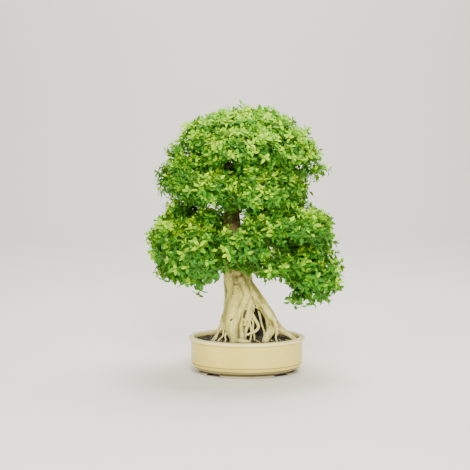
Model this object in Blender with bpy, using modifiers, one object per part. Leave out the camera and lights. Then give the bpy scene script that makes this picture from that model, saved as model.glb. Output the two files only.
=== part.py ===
"""A privet bonsai growing in an oval glazed pot, in metres, +Z up.

The origin is the middle of the plane that the pot's feet stand on. +X is to the right of the tree's front,
+Y to its back. The pot holds a layer of coarse gravel and the soil; the trunk stands in the soil on spreading
roots; each branch leaves the trunk and ends inside a pad of foliage, which is one soft lump of leaves and twigs.
"""

import math

import bmesh
import bpy
from mathutils import Vector, noise

# Pot: an oval, lofted from rings that keep a constant distance from the rim's outline.
POT_LENGTH = 0.356
POT_DEPTH = 0.276
POT_HEIGHT = 0.113
POT_WALL = 0.009
POT_FLOOR = 0.010
RIM_OVERHANG = 0.007
RIM_HEIGHT = 0.011
RIM_ROUND = 0.0028
BELLY_TOP = 0.040
BELLY_BOTTOM = 0.012
BELLY_TUCK = 0.028
GROOVE_HEIGHTS = (0.0250, 0.0335)
GROOVE_WIDTH = 0.0026
GROOVE_DEPTH = 0.0013
FOOT_HEIGHT = 0.0135
FOOT_LIP = 0.0055
FOOT_RECESS = 0.002
FOOT_INSET = 0.0045
FOOT_WIDTH = 0.012
FLOOR_CLEAR = 0.009
ARCH_HEIGHT = 0.0085
ARCH_WIDTH = 0.062
ARCH_SLOPE = 0.008
ARCH_REACH = 0.06
ARCH_ANGLE = math.radians(45)
OVAL_SIDES = 40
# Where rings of the rounded part of the wall lie, as shares of the way up it: under the grooves, and inside.
BELLY_UNDER = (0.12, 0.26)
BELLY_INSIDE = (0.45, 0.60, 0.75, 0.87, 1.0)

# Drainage: two holes in the floor, each under a plastic mesh held by a bent wire.
DRAIN_RADIUS = 0.011
DRAIN_SPACING = 0.150
SCREEN_CELLS = 5
SCREEN_PITCH = 0.007
SCREEN_BAR = 0.0016
SCREEN_THICK = 0.0014
WIRE_RADIUS = 0.0008
WIRE_FOOT = 0.011

# Filling of the pot.
FIT_GAP = 0.0004
GRAVEL_THICK = 0.016
SOIL_DROP = 0.014
SOIL_MOUND = 0.012

# Tree: heights are above the soil's edge.
TREE_HEIGHT = 0.704
TRUNK_RADIUS = 0.044
TRUNK_LEAN = 0.046
ROOT_FLARE_HEIGHT = 0.150
ROOT_MARGIN = 0.008
CANOPY_LENGTH = 0.584
CANOPY_DEPTH = 0.470
FOLIAGE_LUMPS = 0.07
PAD_GAP = 0.003
BRANCH_RADIUS = 0.0105
BRANCH_TIP_RADIUS = 0.004
BRANCH_SIDES = 6
WOOD_VOXEL = 0.0050
WOOD_KEEP = 0.13

SOIL_EDGE = POT_HEIGHT - SOIL_DROP
FLOOR_TOP = FLOOR_CLEAR + POT_FLOOR
GRAVEL_TOP = FLOOR_TOP + FIT_GAP + GRAVEL_THICK
SCREEN_HALF = (SCREEN_CELLS * SCREEN_PITCH + SCREEN_BAR) / 2

# The trunk's axis, bottom to top: (lean across, lean back, height, radius), in shares of TRUNK_LEAN,
# TRUNK_LEAN, TREE_HEIGHT and TRUNK_RADIUS.
TRUNK_LINE = (
    (-0.40, 0.20, -0.050, 0.72),
    (-0.44, 0.16, 0.000, 0.78),
    (-0.38, 0.12, 0.055, 0.82),
    (-0.26, 0.06, 0.110, 0.88),
    (-0.26, 0.02, 0.165, 0.99),
    (-0.34, 0.02, 0.215, 1.00),
    (-0.58, 0.04, 0.275, 0.99),
    (-0.70, 0.08, 0.330, 0.92),
    (-0.90, 0.14, 0.430, 0.72),
    (-1.00, 0.17, 0.540, 0.58),
    (-0.94, 0.13, 0.650, 0.45),
    (-0.66, 0.05, 0.750, 0.32),
    (-0.40, 0.00, 0.815, 0.24),
    (-0.30, 0.00, 0.875, 0.20),
)

# Surface roots: (across, back, height, radius), in shares of half the root plate's length and depth, of
# ROOT_FLARE_HEIGHT and of TRUNK_RADIUS. The gap between the right buttress and the trunk is left open.
ROOTS = (
    ((-0.02, -0.03, 1.00, 0.62), (0.22, -0.10, 0.70, 0.60), (0.43, -0.15, 0.40, 0.52), (0.55, -0.19, 0.17, 0.42),
     (0.48, -0.32, 0.02, 0.34), (0.39, -0.44, -0.14, 0.25)),
    ((0.36, -0.14, 0.48, 0.42), (0.54, -0.16, 0.26, 0.40), (0.70, -0.12, 0.10, 0.31), (0.84, -0.08, -0.02, 0.24),
     (0.94, -0.04, -0.12, 0.16)),
    ((-0.15, -0.10, 0.92, 0.62), (-0.19, -0.24, 0.60, 0.66), (-0.21, -0.36, 0.30, 0.70), (-0.21, -0.45, 0.02, 0.68),
     (-0.19, -0.50, -0.20, 0.56)),
    ((-0.22, -0.02, 0.74, 0.48), (-0.38, -0.09, 0.46, 0.48), (-0.48, -0.13, 0.26, 0.38), (-0.46, -0.16, 0.04, 0.28),
     (-0.47, -0.18, -0.16, 0.20)),
    ((-0.47, -0.14, 0.30, 0.22), (-0.58, -0.22, 0.10, 0.18), (-0.70, -0.32, -0.14, 0.15)),
    ((-0.45, -0.16, 0.26, 0.22), (-0.55, -0.34, 0.06, 0.18), (-0.62, -0.48, -0.16, 0.15)),
    ((-0.20, 0.14, 0.70, 0.48), (-0.40, 0.34, 0.32, 0.40), (-0.58, 0.52, -0.08, 0.24)),
    ((-0.02, 0.18, 0.80, 0.54), (0.02, 0.46, 0.36, 0.46), (0.05, 0.74, -0.08, 0.28)),
    ((0.06, 0.12, 0.85, 0.50), (0.36, 0.36, 0.34, 0.38), (0.62, 0.56, -0.08, 0.22)),
    ((0.08, -0.16, 0.66, 0.20), (0.19, -0.33, 0.42, 0.19), (0.22, -0.38, 0.24, 0.17), (0.14, -0.43, 0.08, 0.15),
     (0.02, -0.45, -0.06, 0.14)),
    ((0.02, -0.22, 0.62, 0.20), (0.08, -0.37, 0.34, 0.18), (0.07, -0.45, 0.06, 0.18), (0.06, -0.48, -0.10, 0.16)),
)

# Foliage: name: (centre across, back, up), (half length, half depth, half height), in shares of half the
# canopy's length, half its depth and TREE_HEIGHT, and the height on the trunk where its branch leaves.
PADS = {
    "crown": ((-0.02, -0.02, 0.908), (0.40, 0.44, 0.094), None),
    "crown_left": ((-0.43, -0.08, 0.850), (0.29, 0.42, 0.104), 0.705),
    "crown_right": ((0.46, 0.02, 0.800), (0.30, 0.44, 0.115), 0.690),
    "crown_front": ((-0.06, -0.54, 0.812), (0.38, 0.34, 0.106), 0.720),
    "crown_back": ((0.03, 0.54, 0.820), (0.42, 0.36, 0.106), 0.715),
    "upper_left": ((-0.655, -0.06, 0.690), (0.285, 0.44, 0.092), 0.600),
    "upper_front_left": ((-0.34, -0.58, 0.642), (0.30, 0.33, 0.102), 0.560),
    "upper_front": ((0.06, -0.66, 0.640), (0.28, 0.28, 0.100), 0.585),
    "upper_right": ((0.40, -0.20, 0.640), (0.30, 0.42, 0.096), 0.600),
    "upper_back_left": ((-0.38, 0.56, 0.655), (0.36, 0.36, 0.105), 0.570),
    "upper_back_right": ((0.28, 0.60, 0.640), (0.36, 0.36, 0.105), 0.590),
    "lower_left": ((-0.755, -0.02, 0.425), (0.245, 0.48, 0.135), 0.400),
    "lower_front_left": ((-0.48, -0.62, 0.400), (0.30, 0.34, 0.132), 0.360),
    "lower_front": ((-0.06, -0.73, 0.430), (0.28, 0.28, 0.112), 0.420),
    "lower_front_right": ((0.34, -0.60, 0.498), (0.31, 0.36, 0.084), 0.470),
    "lower_right": ((0.725, 0.02, 0.480), (0.275, 0.48, 0.108), 0.450),
    "hanging_right": ((0.72, -0.20, 0.268), (0.265, 0.40, 0.092), 0.318),
    "hanging_front_right": ((0.27, -0.52, 0.345), (0.25, 0.30, 0.055), 0.315),
    "lower_back_left": ((-0.44, 0.62, 0.410), (0.38, 0.38, 0.125), 0.370),
    "lower_back_right": ((0.38, 0.64, 0.420), (0.40, 0.36, 0.120), 0.440),
}
UNDERSIDE = 0.80
PAD_AROUND, PAD_DOWN = 14, 9

# Colours of the parts.
CREAM_GLAZE = (0.70, 0.62, 0.38)
BARK = (0.50, 0.43, 0.24)
LEAF = (0.10, 0.30, 0.03)
EARTH = (0.030, 0.026, 0.018)
PUMICE = (0.45, 0.38, 0.28)
BLACK_PLASTIC = (0.02, 0.02, 0.02)
ALUMINIUM = (0.75, 0.75, 0.75)


def clear_scene():
    for obj in list(bpy.data.objects):
        bpy.data.objects.remove(obj)


def material(name, colour, roughness, metallic=0.0):
    mat = bpy.data.materials.get(name)
    if mat is None:
        mat = bpy.data.materials.new(name)
        mat.use_nodes = True
        shader = mat.node_tree.nodes["Principled BSDF"]
        shader.inputs["Base Color"].default_value = (*colour, 1.0)
        shader.inputs["Roughness"].default_value = roughness
        shader.inputs["Metallic"].default_value = metallic
    return mat


def collection(name):
    made = bpy.data.collections.new(name)
    bpy.context.scene.collection.children.link(made)
    return made


def add_object(name, mesh, group, mat=None):
    obj = bpy.data.objects.new(name, mesh)
    group.objects.link(obj)
    if mat:
        mesh.materials.clear()
        mesh.materials.append(mat)
    mesh.shade_smooth()
    mesh.set_sharp_from_angle(angle=math.radians(40))
    return obj


def as_cutter(obj):
    obj.hide_render = True
    obj.display_type = "WIRE"
    return obj


def baked(obj):
    """The object's mesh with its modifiers in it."""
    graph = bpy.context.evaluated_depsgraph_get()
    mesh = bpy.data.meshes.new_from_object(obj.evaluated_get(graph))
    obj.modifiers.clear()
    obj.data = mesh
    return obj


def cut(obj, *cutters):
    for cutter in cutters:
        boolean = obj.modifiers.new("Cut", "BOOLEAN")
        boolean.operation = "DIFFERENCE"
        boolean.object = cutter
    return obj


def smooth_line(points, steps):
    """A Catmull-Rom curve through points of any number of values, with steps spans between each pair."""
    ends = [[2 * a - b for a, b in zip(points[0], points[1])], [2 * a - b for a, b in zip(points[-1], points[-2])]]
    knots = [ends[0], *points, ends[1]]
    line = []
    for p0, p1, p2, p3 in zip(knots, knots[1:], knots[2:], knots[3:]):
        for step in range(steps):
            t = step / steps
            line.append([
                0.5 * (2 * b + (c - a) * t + (2 * a - 5 * b + 4 * c - d) * t**2 + (3 * b - a - 3 * c + d) * t**3)
                for a, b, c, d in zip(p0, p1, p2, p3)
            ])
    return [*line, list(points[-1])]


def tube(name, line, group, sides=BRANCH_SIDES, extra=0.0):
    """A closed tube along points (x, y, z, radius), each radius made larger by extra."""
    curve = bpy.data.curves.new(name, "CURVE")
    curve.dimensions = "3D"
    curve.bevel_depth = 1.0
    curve.bevel_resolution = sides // 2 - 2
    curve.use_fill_caps = True
    spline = curve.splines.new("POLY")
    spline.points.add(len(line) - 1)
    for point, (x, y, z, radius) in zip(spline.points, line):
        point.co = (x, y, z, 1.0)
        point.radius = radius + extra
    guide = bpy.data.objects.new(name + "_guide", curve)
    group.objects.link(guide)
    graph = bpy.context.evaluated_depsgraph_get()
    mesh = bpy.data.meshes.new_from_object(guide.evaluated_get(graph))
    bpy.data.objects.remove(guide)
    bm = bmesh.new()
    bm.from_mesh(mesh)
    bmesh.ops.remove_doubles(bm, verts=bm.verts, dist=1e-6)
    bmesh.ops.recalc_face_normals(bm, faces=bm.faces)
    bm.to_mesh(mesh)
    bm.free()
    mesh.name = name
    return add_object(name, mesh, group)


# ---------------------------------------------------------------- pot


def body_inset(z):
    """How far inside the rim's outline the pot's outer wall lies: straight above, rounded in below."""
    share = min(max(0.0, (BELLY_TOP - z) / (BELLY_TOP - BELLY_BOTTOM)), 1.0)
    return RIM_OVERHANG + BELLY_TUCK * (1 - math.sqrt(1 - share**2))


def belly_heights(*shares):
    """Heights in the rounded part of the wall, as shares of the way up it."""
    return [BELLY_BOTTOM + share * (BELLY_TOP - BELLY_BOTTOM) for share in shares]


def inner_inset(z):
    """How far inside the rim's outline the pot's inner wall lies."""
    return body_inset(z) + POT_WALL


def oval_mesh(name, rings):
    """Lofts rings of (inset, height), each an oval at that distance inside the rim's outline, and closes both ends."""
    bm = bmesh.new()
    loops = []
    for inset, z in rings:
        half_length, half_depth = POT_LENGTH / 2 - inset, POT_DEPTH / 2 - inset
        loops.append([
            bm.verts.new((half_length * math.cos(turn), half_depth * math.sin(turn), z))
            for turn in (2 * math.pi * k / OVAL_SIDES for k in range(OVAL_SIDES))
        ])
    for below, above in zip(loops, loops[1:]):
        for k in range(OVAL_SIDES):
            after = (k + 1) % OVAL_SIDES
            bm.faces.new((below[k], below[after], above[after], above[k]))
    bm.faces.new(reversed(loops[0]))
    bm.faces.new(loops[-1])
    bmesh.ops.recalc_face_normals(bm, faces=bm.faces)
    mesh = bpy.data.meshes.new(name)
    bm.to_mesh(mesh)
    bm.free()
    return mesh


def pot_rings():
    """The pot's section, from the middle of its underside, round its foot, wall and rim, to its floor."""
    foot = body_inset(FOOT_HEIGHT) + FOOT_INSET
    rings = [
        (foot + FOOT_WIDTH, FLOOR_CLEAR),
        (foot + FOOT_WIDTH, 0.0),
        (foot + RIM_ROUND / 2, 0.0),
        (foot, RIM_ROUND / 2),
        (foot, FOOT_LIP),
        (foot + FOOT_RECESS, FOOT_LIP + FOOT_RECESS),
        (foot + FOOT_RECESS, FOOT_HEIGHT),
    ]
    rings += [(body_inset(z), z) for z in (FOOT_HEIGHT, *belly_heights(*BELLY_UNDER))]
    for height in GROOVE_HEIGHTS:
        rings += [
            (body_inset(height - GROOVE_WIDTH / 2), height - GROOVE_WIDTH / 2),
            (body_inset(height) + GROOVE_DEPTH, height),
            (body_inset(height + GROOVE_WIDTH / 2), height + GROOVE_WIDTH / 2),
        ]
    rings += [(body_inset(z), z) for z in (BELLY_TOP, POT_HEIGHT - RIM_HEIGHT)]
    rings += [
        (RIM_ROUND / 3, POT_HEIGHT - RIM_HEIGHT + RIM_ROUND / 3),
        (0.0, POT_HEIGHT - RIM_HEIGHT + RIM_ROUND),
        (0.0, POT_HEIGHT - RIM_ROUND),
        (RIM_ROUND / 3, POT_HEIGHT - RIM_ROUND / 3),
        (RIM_ROUND, POT_HEIGHT),
        (RIM_OVERHANG + POT_WALL - RIM_ROUND, POT_HEIGHT),
        (RIM_OVERHANG + POT_WALL, POT_HEIGHT - RIM_ROUND),
    ]
    rings += [(inner_inset(z), z) for z in (*reversed(belly_heights(*BELLY_INSIDE)), FLOOR_TOP)]
    return rings


def arch_cutter(name, angle, group):
    """A wedge that opens the foot ring at an angle round the oval, wider at the bottom."""
    bm = bmesh.new()
    bmesh.ops.create_cube(bm, size=1.0)
    for vert in bm.verts:
        half = ARCH_WIDTH / 2 - (ARCH_SLOPE if vert.co.z > 0 else -ARCH_SLOPE)
        vert.co = Vector((vert.co.x * ARCH_REACH, math.copysign(half, vert.co.y), vert.co.z * 2 * ARCH_HEIGHT))
    mesh = bpy.data.meshes.new(name)
    bm.to_mesh(mesh)
    bm.free()
    cutter = as_cutter(add_object(name, mesh, group))
    inset = body_inset(FOOT_HEIGHT) + FOOT_INSET + FOOT_WIDTH / 2
    half_length, half_depth = POT_LENGTH / 2 - inset, POT_DEPTH / 2 - inset
    cutter.location = (half_length * math.cos(angle), half_depth * math.sin(angle), 0.0)
    cutter.rotation_euler.z = math.atan2(half_length * math.sin(angle), half_depth * math.cos(angle))
    return cutter


def drain_cutter(name, x, group):
    bm = bmesh.new()
    bmesh.ops.create_cone(
        bm, cap_ends=True, segments=24, radius1=DRAIN_RADIUS, radius2=DRAIN_RADIUS, depth=4 * POT_FLOOR
    )
    mesh = bpy.data.meshes.new(name)
    bm.to_mesh(mesh)
    bm.free()
    cutter = as_cutter(add_object(name, mesh, group))
    cutter.location = (x, 0.0, FLOOR_CLEAR + POT_FLOOR / 2)
    return cutter


def make_pot(group, cutters):
    pot = add_object("pot", oval_mesh("pot", pot_rings()), group, material("cream_glaze", CREAM_GLAZE, 0.35))
    arches = [
        arch_cutter(f"arch_cutter_{k}", angle, cutters)
        for k, angle in enumerate(s * math.pi / 2 + e * ARCH_ANGLE for s in (1, -1) for e in (1, -1))
    ]
    drains = [drain_cutter(f"drain_cutter_{side}", x, cutters) for side, x in drain_places()]
    return baked(cut(pot, *arches, *drains))


def drain_places():
    return (("left", -DRAIN_SPACING / 2), ("right", DRAIN_SPACING / 2))


# ---------------------------------------------------------------- drainage


def make_screen(side, x, group):
    """A square of plastic mesh: a grid whose cells are inset and opened, then given its thickness."""
    bm = bmesh.new()
    half = SCREEN_CELLS * SCREEN_PITCH / 2
    bmesh.ops.create_grid(bm, x_segments=SCREEN_CELLS, y_segments=SCREEN_CELLS, size=half)
    cells = bm.faces[:]
    bmesh.ops.inset_individual(bm, faces=cells, thickness=SCREEN_BAR / 2)
    bmesh.ops.delete(bm, geom=cells, context="FACES")
    mesh = bpy.data.meshes.new("drain_screen")
    bm.to_mesh(mesh)
    bm.free()
    screen = add_object(f"drain_screen_{side}", mesh, group, material("black_plastic", BLACK_PLASTIC, 0.5))
    screen.location = (x, 0.0, FLOOR_TOP + FIT_GAP)
    wall = screen.modifiers.new("Thickness", "SOLIDIFY")
    wall.thickness = SCREEN_THICK
    wall.offset = 1.0
    return screen


def make_screen_wire(side, x, group):
    """A wire staple: it crosses the mesh, its legs go down through the drain hole, its feet turn out below."""
    top = FLOOR_TOP + 2 * FIT_GAP + SCREEN_THICK + WIRE_RADIUS
    bottom = FLOOR_CLEAR - FIT_GAP - WIRE_RADIUS
    leg = SCREEN_PITCH
    bend = 2 * WIRE_RADIUS
    half = [(0.0, top), (leg - bend, top), (leg, top - bend), (leg, bottom + bend), (leg + bend, bottom),
            (leg + WIRE_FOOT, bottom)]
    line = [(x - a, 0.0, z, WIRE_RADIUS) for a, z in reversed(half[1:])] + [(x + a, 0.0, z, WIRE_RADIUS) for a, z in half]
    wire = tube(f"screen_wire_{side}", line, group, sides=8)
    wire.data.materials.append(material("aluminium", ALUMINIUM, 0.4, 1.0))
    return wire


def filling_rings(bottom, top):
    """Rings of a filling that lies against the pot's inner wall, with the fit gap to it."""
    levels = [bottom, *(z for z in belly_heights(*BELLY_INSIDE) if bottom < z < top), top]
    return [(inner_inset(z) + FIT_GAP, z) for z in levels]


def make_gravel(group, cutters):
    bottom = FLOOR_TOP + FIT_GAP
    gravel = add_object(
        "drainage_gravel", oval_mesh("drainage_gravel", filling_rings(bottom, GRAVEL_TOP)), group,
        material("pumice", PUMICE, 0.9),
    )
    recess_top = bottom + SCREEN_THICK + 2 * WIRE_RADIUS + 2 * FIT_GAP
    for side, x in drain_places():
        bm = bmesh.new()
        bmesh.ops.create_cube(bm, size=1.0)
        size = 2 * (SCREEN_HALF + FIT_GAP)
        bmesh.ops.scale(bm, vec=(size, size, 2 * (recess_top - bottom)), verts=bm.verts)
        mesh = bpy.data.meshes.new("screen_recess")
        bm.to_mesh(mesh)
        bm.free()
        recess = as_cutter(add_object(f"screen_recess_{side}", mesh, cutters))
        recess.location = (x, 0.0, bottom)
        cut(gravel, recess)
    return baked(gravel)


def make_soil(group, trunk, wood_cutter):
    bottom = GRAVEL_TOP + FIT_GAP
    rings = filling_rings(bottom, SOIL_EDGE)
    edge = rings[-1][0]
    reach = min(POT_LENGTH, POT_DEPTH) / 2 - edge
    rings += [
        (edge + reach * share, SOIL_EDGE + SOIL_MOUND * math.sin(share * math.pi / 2) ** 2)
        for share in (0.12, 0.30, 0.50, 0.70, 0.90)
    ]
    soil = add_object("soil", oval_mesh("soil", rings), group, material("earth", EARTH, 0.95))
    return baked(cut(soil, wood_cutter, trunk))


# ---------------------------------------------------------------- wood


def trunk_point(share):
    """(x, y, z, radius) of the trunk's axis at a share of the tree's height."""
    line = [(a[2], *a) for a in TRUNK_LINE]
    for (low, *a), (high, *b) in zip(line, line[1:]):
        if low <= share <= high:
            t = (share - low) / (high - low)
            x, y, z, radius = (p + (q - p) * t for p, q in zip(a, b))
            break
    return x * TRUNK_LEAN, y * TRUNK_LEAN, SOIL_EDGE + z * TREE_HEIGHT, radius * TRUNK_RADIUS


def make_trunk(group, cutters):
    """Trunk and surface roots: overlapping tapered tubes, grown into one skin by a voxel remesh."""
    scale = (TRUNK_LEAN, TRUNK_LEAN, TREE_HEIGHT, TRUNK_RADIUS)
    axis = [[v * s for v, s in zip(point, scale)] for point in TRUNK_LINE]
    plate_half = inner_inset(SOIL_EDGE) + ROOT_MARGIN
    scale = (POT_LENGTH / 2 - plate_half, POT_DEPTH / 2 - plate_half, ROOT_FLARE_HEIGHT, TRUNK_RADIUS)
    strands = [axis, *([[v * s for v, s in zip(point, scale)] for point in root] for root in ROOTS)]
    bm = bmesh.new()
    for number, strand in enumerate(strands):
        line = smooth_line([(x, y, SOIL_EDGE + z, r) for x, y, z, r in strand], 4)
        piece = tube(f"strand_{number}", line, cutters, sides=16)
        bm.from_mesh(piece.data)
        bpy.data.objects.remove(piece)
    mesh = bpy.data.meshes.new("trunk")
    bm.to_mesh(mesh)
    bm.free()
    trunk = add_object("trunk", mesh, group)
    skin = trunk.modifiers.new("Skin", "REMESH")
    skin.mode = "VOXEL"
    skin.voxel_size = WOOD_VOXEL
    fair = trunk.modifiers.new("Fair", "SMOOTH")
    fair.factor = 0.5
    fair.iterations = 4
    thin = trunk.modifiers.new("Thin", "DECIMATE")
    thin.ratio = WOOD_KEEP
    baked(trunk)
    trunk.data.materials.append(material("bark", BARK, 0.75))
    trunk.data.shade_smooth()
    cutter = as_cutter(add_object("wood_cutter", trunk.data.copy(), cutters))
    grow = cutter.modifiers.new("Grow", "DISPLACE")
    grow.strength = 3.0 * FIT_GAP
    grow.mid_level = 0.0
    return trunk, cutter


def branch_line(centre, share):
    """A branch: out of the trunk's axis, rising a little, then level, into the middle of its pad."""
    start = Vector(trunk_point(share)[:3])
    end = start.lerp(centre, 0.94)
    outward = Vector((end.x - start.x, end.y - start.y, 0.0))
    rise = end.z - start.z
    points = [
        start,
        start + outward * 0.30 + Vector((0.0, 0.0, 0.45 * rise)),
        start + outward * 0.68 + Vector((0.0, 0.0, 0.78 * rise)),
        end,
    ]
    radii = [BRANCH_RADIUS + (BRANCH_TIP_RADIUS - BRANCH_RADIUS) * k / 3 for k in range(4)]
    return smooth_line([(*point, radius) for point, radius in zip(points, radii)], 2)


# ---------------------------------------------------------------- foliage


def pad_box(name):
    """(centre, half sizes) of a pad, in metres."""
    (x, y, z), (half_x, half_y, half_z), _ = PADS[name]
    centre = Vector((x * CANOPY_LENGTH / 2, y * CANOPY_DEPTH / 2, SOIL_EDGE + z * TREE_HEIGHT))
    return centre, Vector((half_x * CANOPY_LENGTH / 2, half_y * CANOPY_DEPTH / 2, half_z * TREE_HEIGHT))


def support(half, direction):
    """How far a pad of those half sizes reaches along a direction, its lumps included."""
    return (1 + FOLIAGE_LUMPS) * Vector(h * d for h, d in zip(half, direction)).length


def pad_limits(name):
    """Planes (direction, distance from the pad's centre) that part a pad from its neighbours and from the trunk."""
    centre, half = pad_box(name)
    limits = []
    for other in PADS:
        if other == name:
            continue
        other_centre, other_half = pad_box(other)
        between = other_centre - centre
        direction = between.normalized()
        own, theirs = support(half, direction), support(other_half, direction)
        if own + theirs + PAD_GAP > between.length:
            limits.append((direction, (between.length - PAD_GAP) * own / (own + theirs)))
    share = (centre.z - SOIL_EDGE) / TREE_HEIGHT
    if share < TRUNK_LINE[-1][2]:
        x, y, _, radius = trunk_point(share)
        towards = Vector((x - centre.x, y - centre.y, 0.0))
        limits.append((towards.normalized(), towards.length - 1.5 * radius - PAD_GAP))
    return limits


def make_pad(name, group, socket_cutter):
    """A lump of foliage: an oval ball, flatter below, pressed flat where it meets its neighbours."""
    centre, half = pad_box(name)
    limits = pad_limits(name)
    seed = Vector((7.3 * list(PADS).index(name), 0.0, 0.0))
    bm = bmesh.new()
    bmesh.ops.create_uvsphere(bm, u_segments=PAD_AROUND, v_segments=PAD_DOWN, radius=1.0)
    for vert in bm.verts:
        direction = vert.co.normalized()
        height = half.z * (UNDERSIDE if direction.z < 0 else 1.0)
        reach = 1 / Vector((direction.x / half.x, direction.y / half.y, direction.z / height)).length
        reach *= 1 + FOLIAGE_LUMPS * noise.noise(direction * 2.2 + seed)
        for normal, distance in limits:
            facing = normal.dot(direction)
            if facing > 0:
                reach = min(reach, distance / facing)
        vert.co = direction * reach
    mesh = bpy.data.meshes.new("foliage_" + name)
    bm.to_mesh(mesh)
    bm.free()
    pad = add_object("foliage_" + name, mesh, group, material("leaf", LEAF, 0.45))
    pad.location = centre
    return cut(pad, socket_cutter)


def make_tree(group, cutters):
    """The wood, and a pad of foliage on each limb. Limbs that leave the trunk close together give each other room."""
    trunk, wood_cutter = make_trunk(group, cutters)
    sockets = []
    for name, (_, _, leaves_trunk_at) in PADS.items():
        socket_cutter = wood_cutter
        if leaves_trunk_at is not None:
            line = branch_line(pad_box(name)[0], leaves_trunk_at)
            branch = tube("branch_" + name, line, group)
            branch.data.materials.append(material("bark", BARK, 0.75))
            height = leaves_trunk_at * TREE_HEIGHT
            crowding = [socket for other, socket in sockets if abs(other - height) < 3 * BRANCH_RADIUS]
            cut(branch, wood_cutter, *crowding)
            baked(branch)
            beyond = Vector(line[-1][:3]) - Vector(line[-2][:3])
            end = Vector(line[-1][:3]) + 2 * FIT_GAP * beyond.normalized()
            sleeve = [*line[:-1], (*end, line[-1][3])]
            socket_cutter = as_cutter(tube("socket_" + name, sleeve, cutters, extra=1.5 * FIT_GAP))
            sockets.append((height, socket_cutter))
        make_pad(name, group, socket_cutter)
    return trunk, wood_cutter


def main():
    clear_scene()
    parts = collection("bonsai_in_pot")
    cutters = collection("cutters")
    cutters.hide_render = True
    make_pot(parts, cutters)
    for side, x in drain_places():
        make_screen(side, x, parts)
        make_screen_wire(side, x, parts)
    make_gravel(parts, cutters)
    trunk, wood_cutter = make_tree(parts, cutters)
    make_soil(parts, trunk, wood_cutter)


main()
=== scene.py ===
"""A privet bonsai in an oval glazed pot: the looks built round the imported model, in metres, +Z up."""

import math
import random

import bmesh
import bpy
import numpy as np
from mathutils import Matrix, Vector, noise


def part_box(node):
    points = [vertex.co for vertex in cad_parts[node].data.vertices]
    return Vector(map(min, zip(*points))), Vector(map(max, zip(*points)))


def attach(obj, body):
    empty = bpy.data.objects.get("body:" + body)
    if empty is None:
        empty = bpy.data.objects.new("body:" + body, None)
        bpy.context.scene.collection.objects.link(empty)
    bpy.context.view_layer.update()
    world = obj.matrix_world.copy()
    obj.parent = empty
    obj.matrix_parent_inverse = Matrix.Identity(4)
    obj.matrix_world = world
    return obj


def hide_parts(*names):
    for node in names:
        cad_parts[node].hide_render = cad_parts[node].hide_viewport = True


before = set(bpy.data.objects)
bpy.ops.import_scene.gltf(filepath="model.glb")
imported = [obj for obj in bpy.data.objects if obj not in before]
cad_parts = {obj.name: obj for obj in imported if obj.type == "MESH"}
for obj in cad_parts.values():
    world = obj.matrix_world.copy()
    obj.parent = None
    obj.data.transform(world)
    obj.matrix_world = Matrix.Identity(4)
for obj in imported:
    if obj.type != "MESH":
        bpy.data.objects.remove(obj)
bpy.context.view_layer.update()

# ---- Pot
# A slip-cast stoneware oval with a rolled rim, two lines cut round it near the bottom, and a recessed foot
# ring that low arches part into feet. It is glazed cream inside and out, and left bare where it stands.

MM = 0.001
pot_low, pot_high = (Vector(corner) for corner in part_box("pot"))
POT_HALF_LENGTH = (pot_high.x - pot_low.x) / 2
POT_HALF_DEPTH = (pot_high.y - pot_low.y) / 2
POT_HEIGHT = pot_high.z
POT_WALL = 9 * MM
POT_FLOOR_BELOW, POT_FLOOR_TOP = 9 * MM, 19 * MM
RIM_OVERHANG, RIM_HEIGHT = 7 * MM, 11 * MM
BELLY_TOP, BELLY_BOTTOM, BELLY_TUCK = 40 * MM, 12 * MM, 28 * MM
FOOT_TOP, FOOT_LIP, FOOT_INSET, FOOT_WIDTH = 13.5 * MM, 5.5 * MM, 4.5 * MM, 12 * MM
POT_SIDES, POT_CREASE = 144, math.radians(50)
DRAIN_RADIUS, DRAIN_X = 11 * MM, 75 * MM
ARCH_ANGLE = math.radians(45)
ARCH_HALF, ARCH_FLARE, ARCH_THROUGH, ARCH_TALL = 31 * MM, 8 * MM, 60 * MM, 17 * MM
CUT_LINES = (22.2 * MM, 33.6 * MM)
STAND_ROUND, LIP_ROUND, RIM_UNDER_ROUND, RIM_OUTER_ROUND, RIM_INNER_ROUND = (
    size * MM for size in (1.4, 2.2, 3.4, 3.8, 3.0))


class Term:
    """A socket of a node tree that can be added to, multiplied and compared like a number or a vector."""

    def __init__(self, graph, socket):
        self.graph, self.socket = graph, socket

    def math(self, operation, *others):
        return self.graph.number(operation, self, *others)

    def vector(self, operation, *others, out=0):
        values = dict(enumerate((self, *others)))
        return self.graph.add("ShaderNodeVectorMath", {"operation": operation}, values, out)

    def scaled_by(self, amount):
        """This vector times a number."""
        return self.graph.add("ShaderNodeVectorMath", {"operation": "SCALE"}, {0: self, "Scale": amount})

    def beside(self, name):
        """Another output of the node that this term comes from."""
        return Term(self.graph, self.socket.node.outputs[name])

    def __add__(self, other):
        return self.math("ADD", other)

    def __sub__(self, other):
        return self.math("SUBTRACT", other)

    def __rsub__(self, other):
        return self.graph.number("SUBTRACT", other, self)

    def __mul__(self, other):
        return self.math("MULTIPLY", other)

    def __truediv__(self, other):
        return self.math("DIVIDE", other)

    def __pow__(self, other):
        return self.math("POWER", other)

    __radd__ = __add__
    __rmul__ = __mul__

    def span(self, low, high, start=0.0, end=1.0):
        """start where this is low, end where it is high, and even between them."""
        values = {"Value": self, "From Min": low, "From Max": high, "To Min": start, "To Max": end}
        return self.graph.add("ShaderNodeMapRange", {"interpolation_type": "SMOOTHSTEP"}, values)


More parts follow.
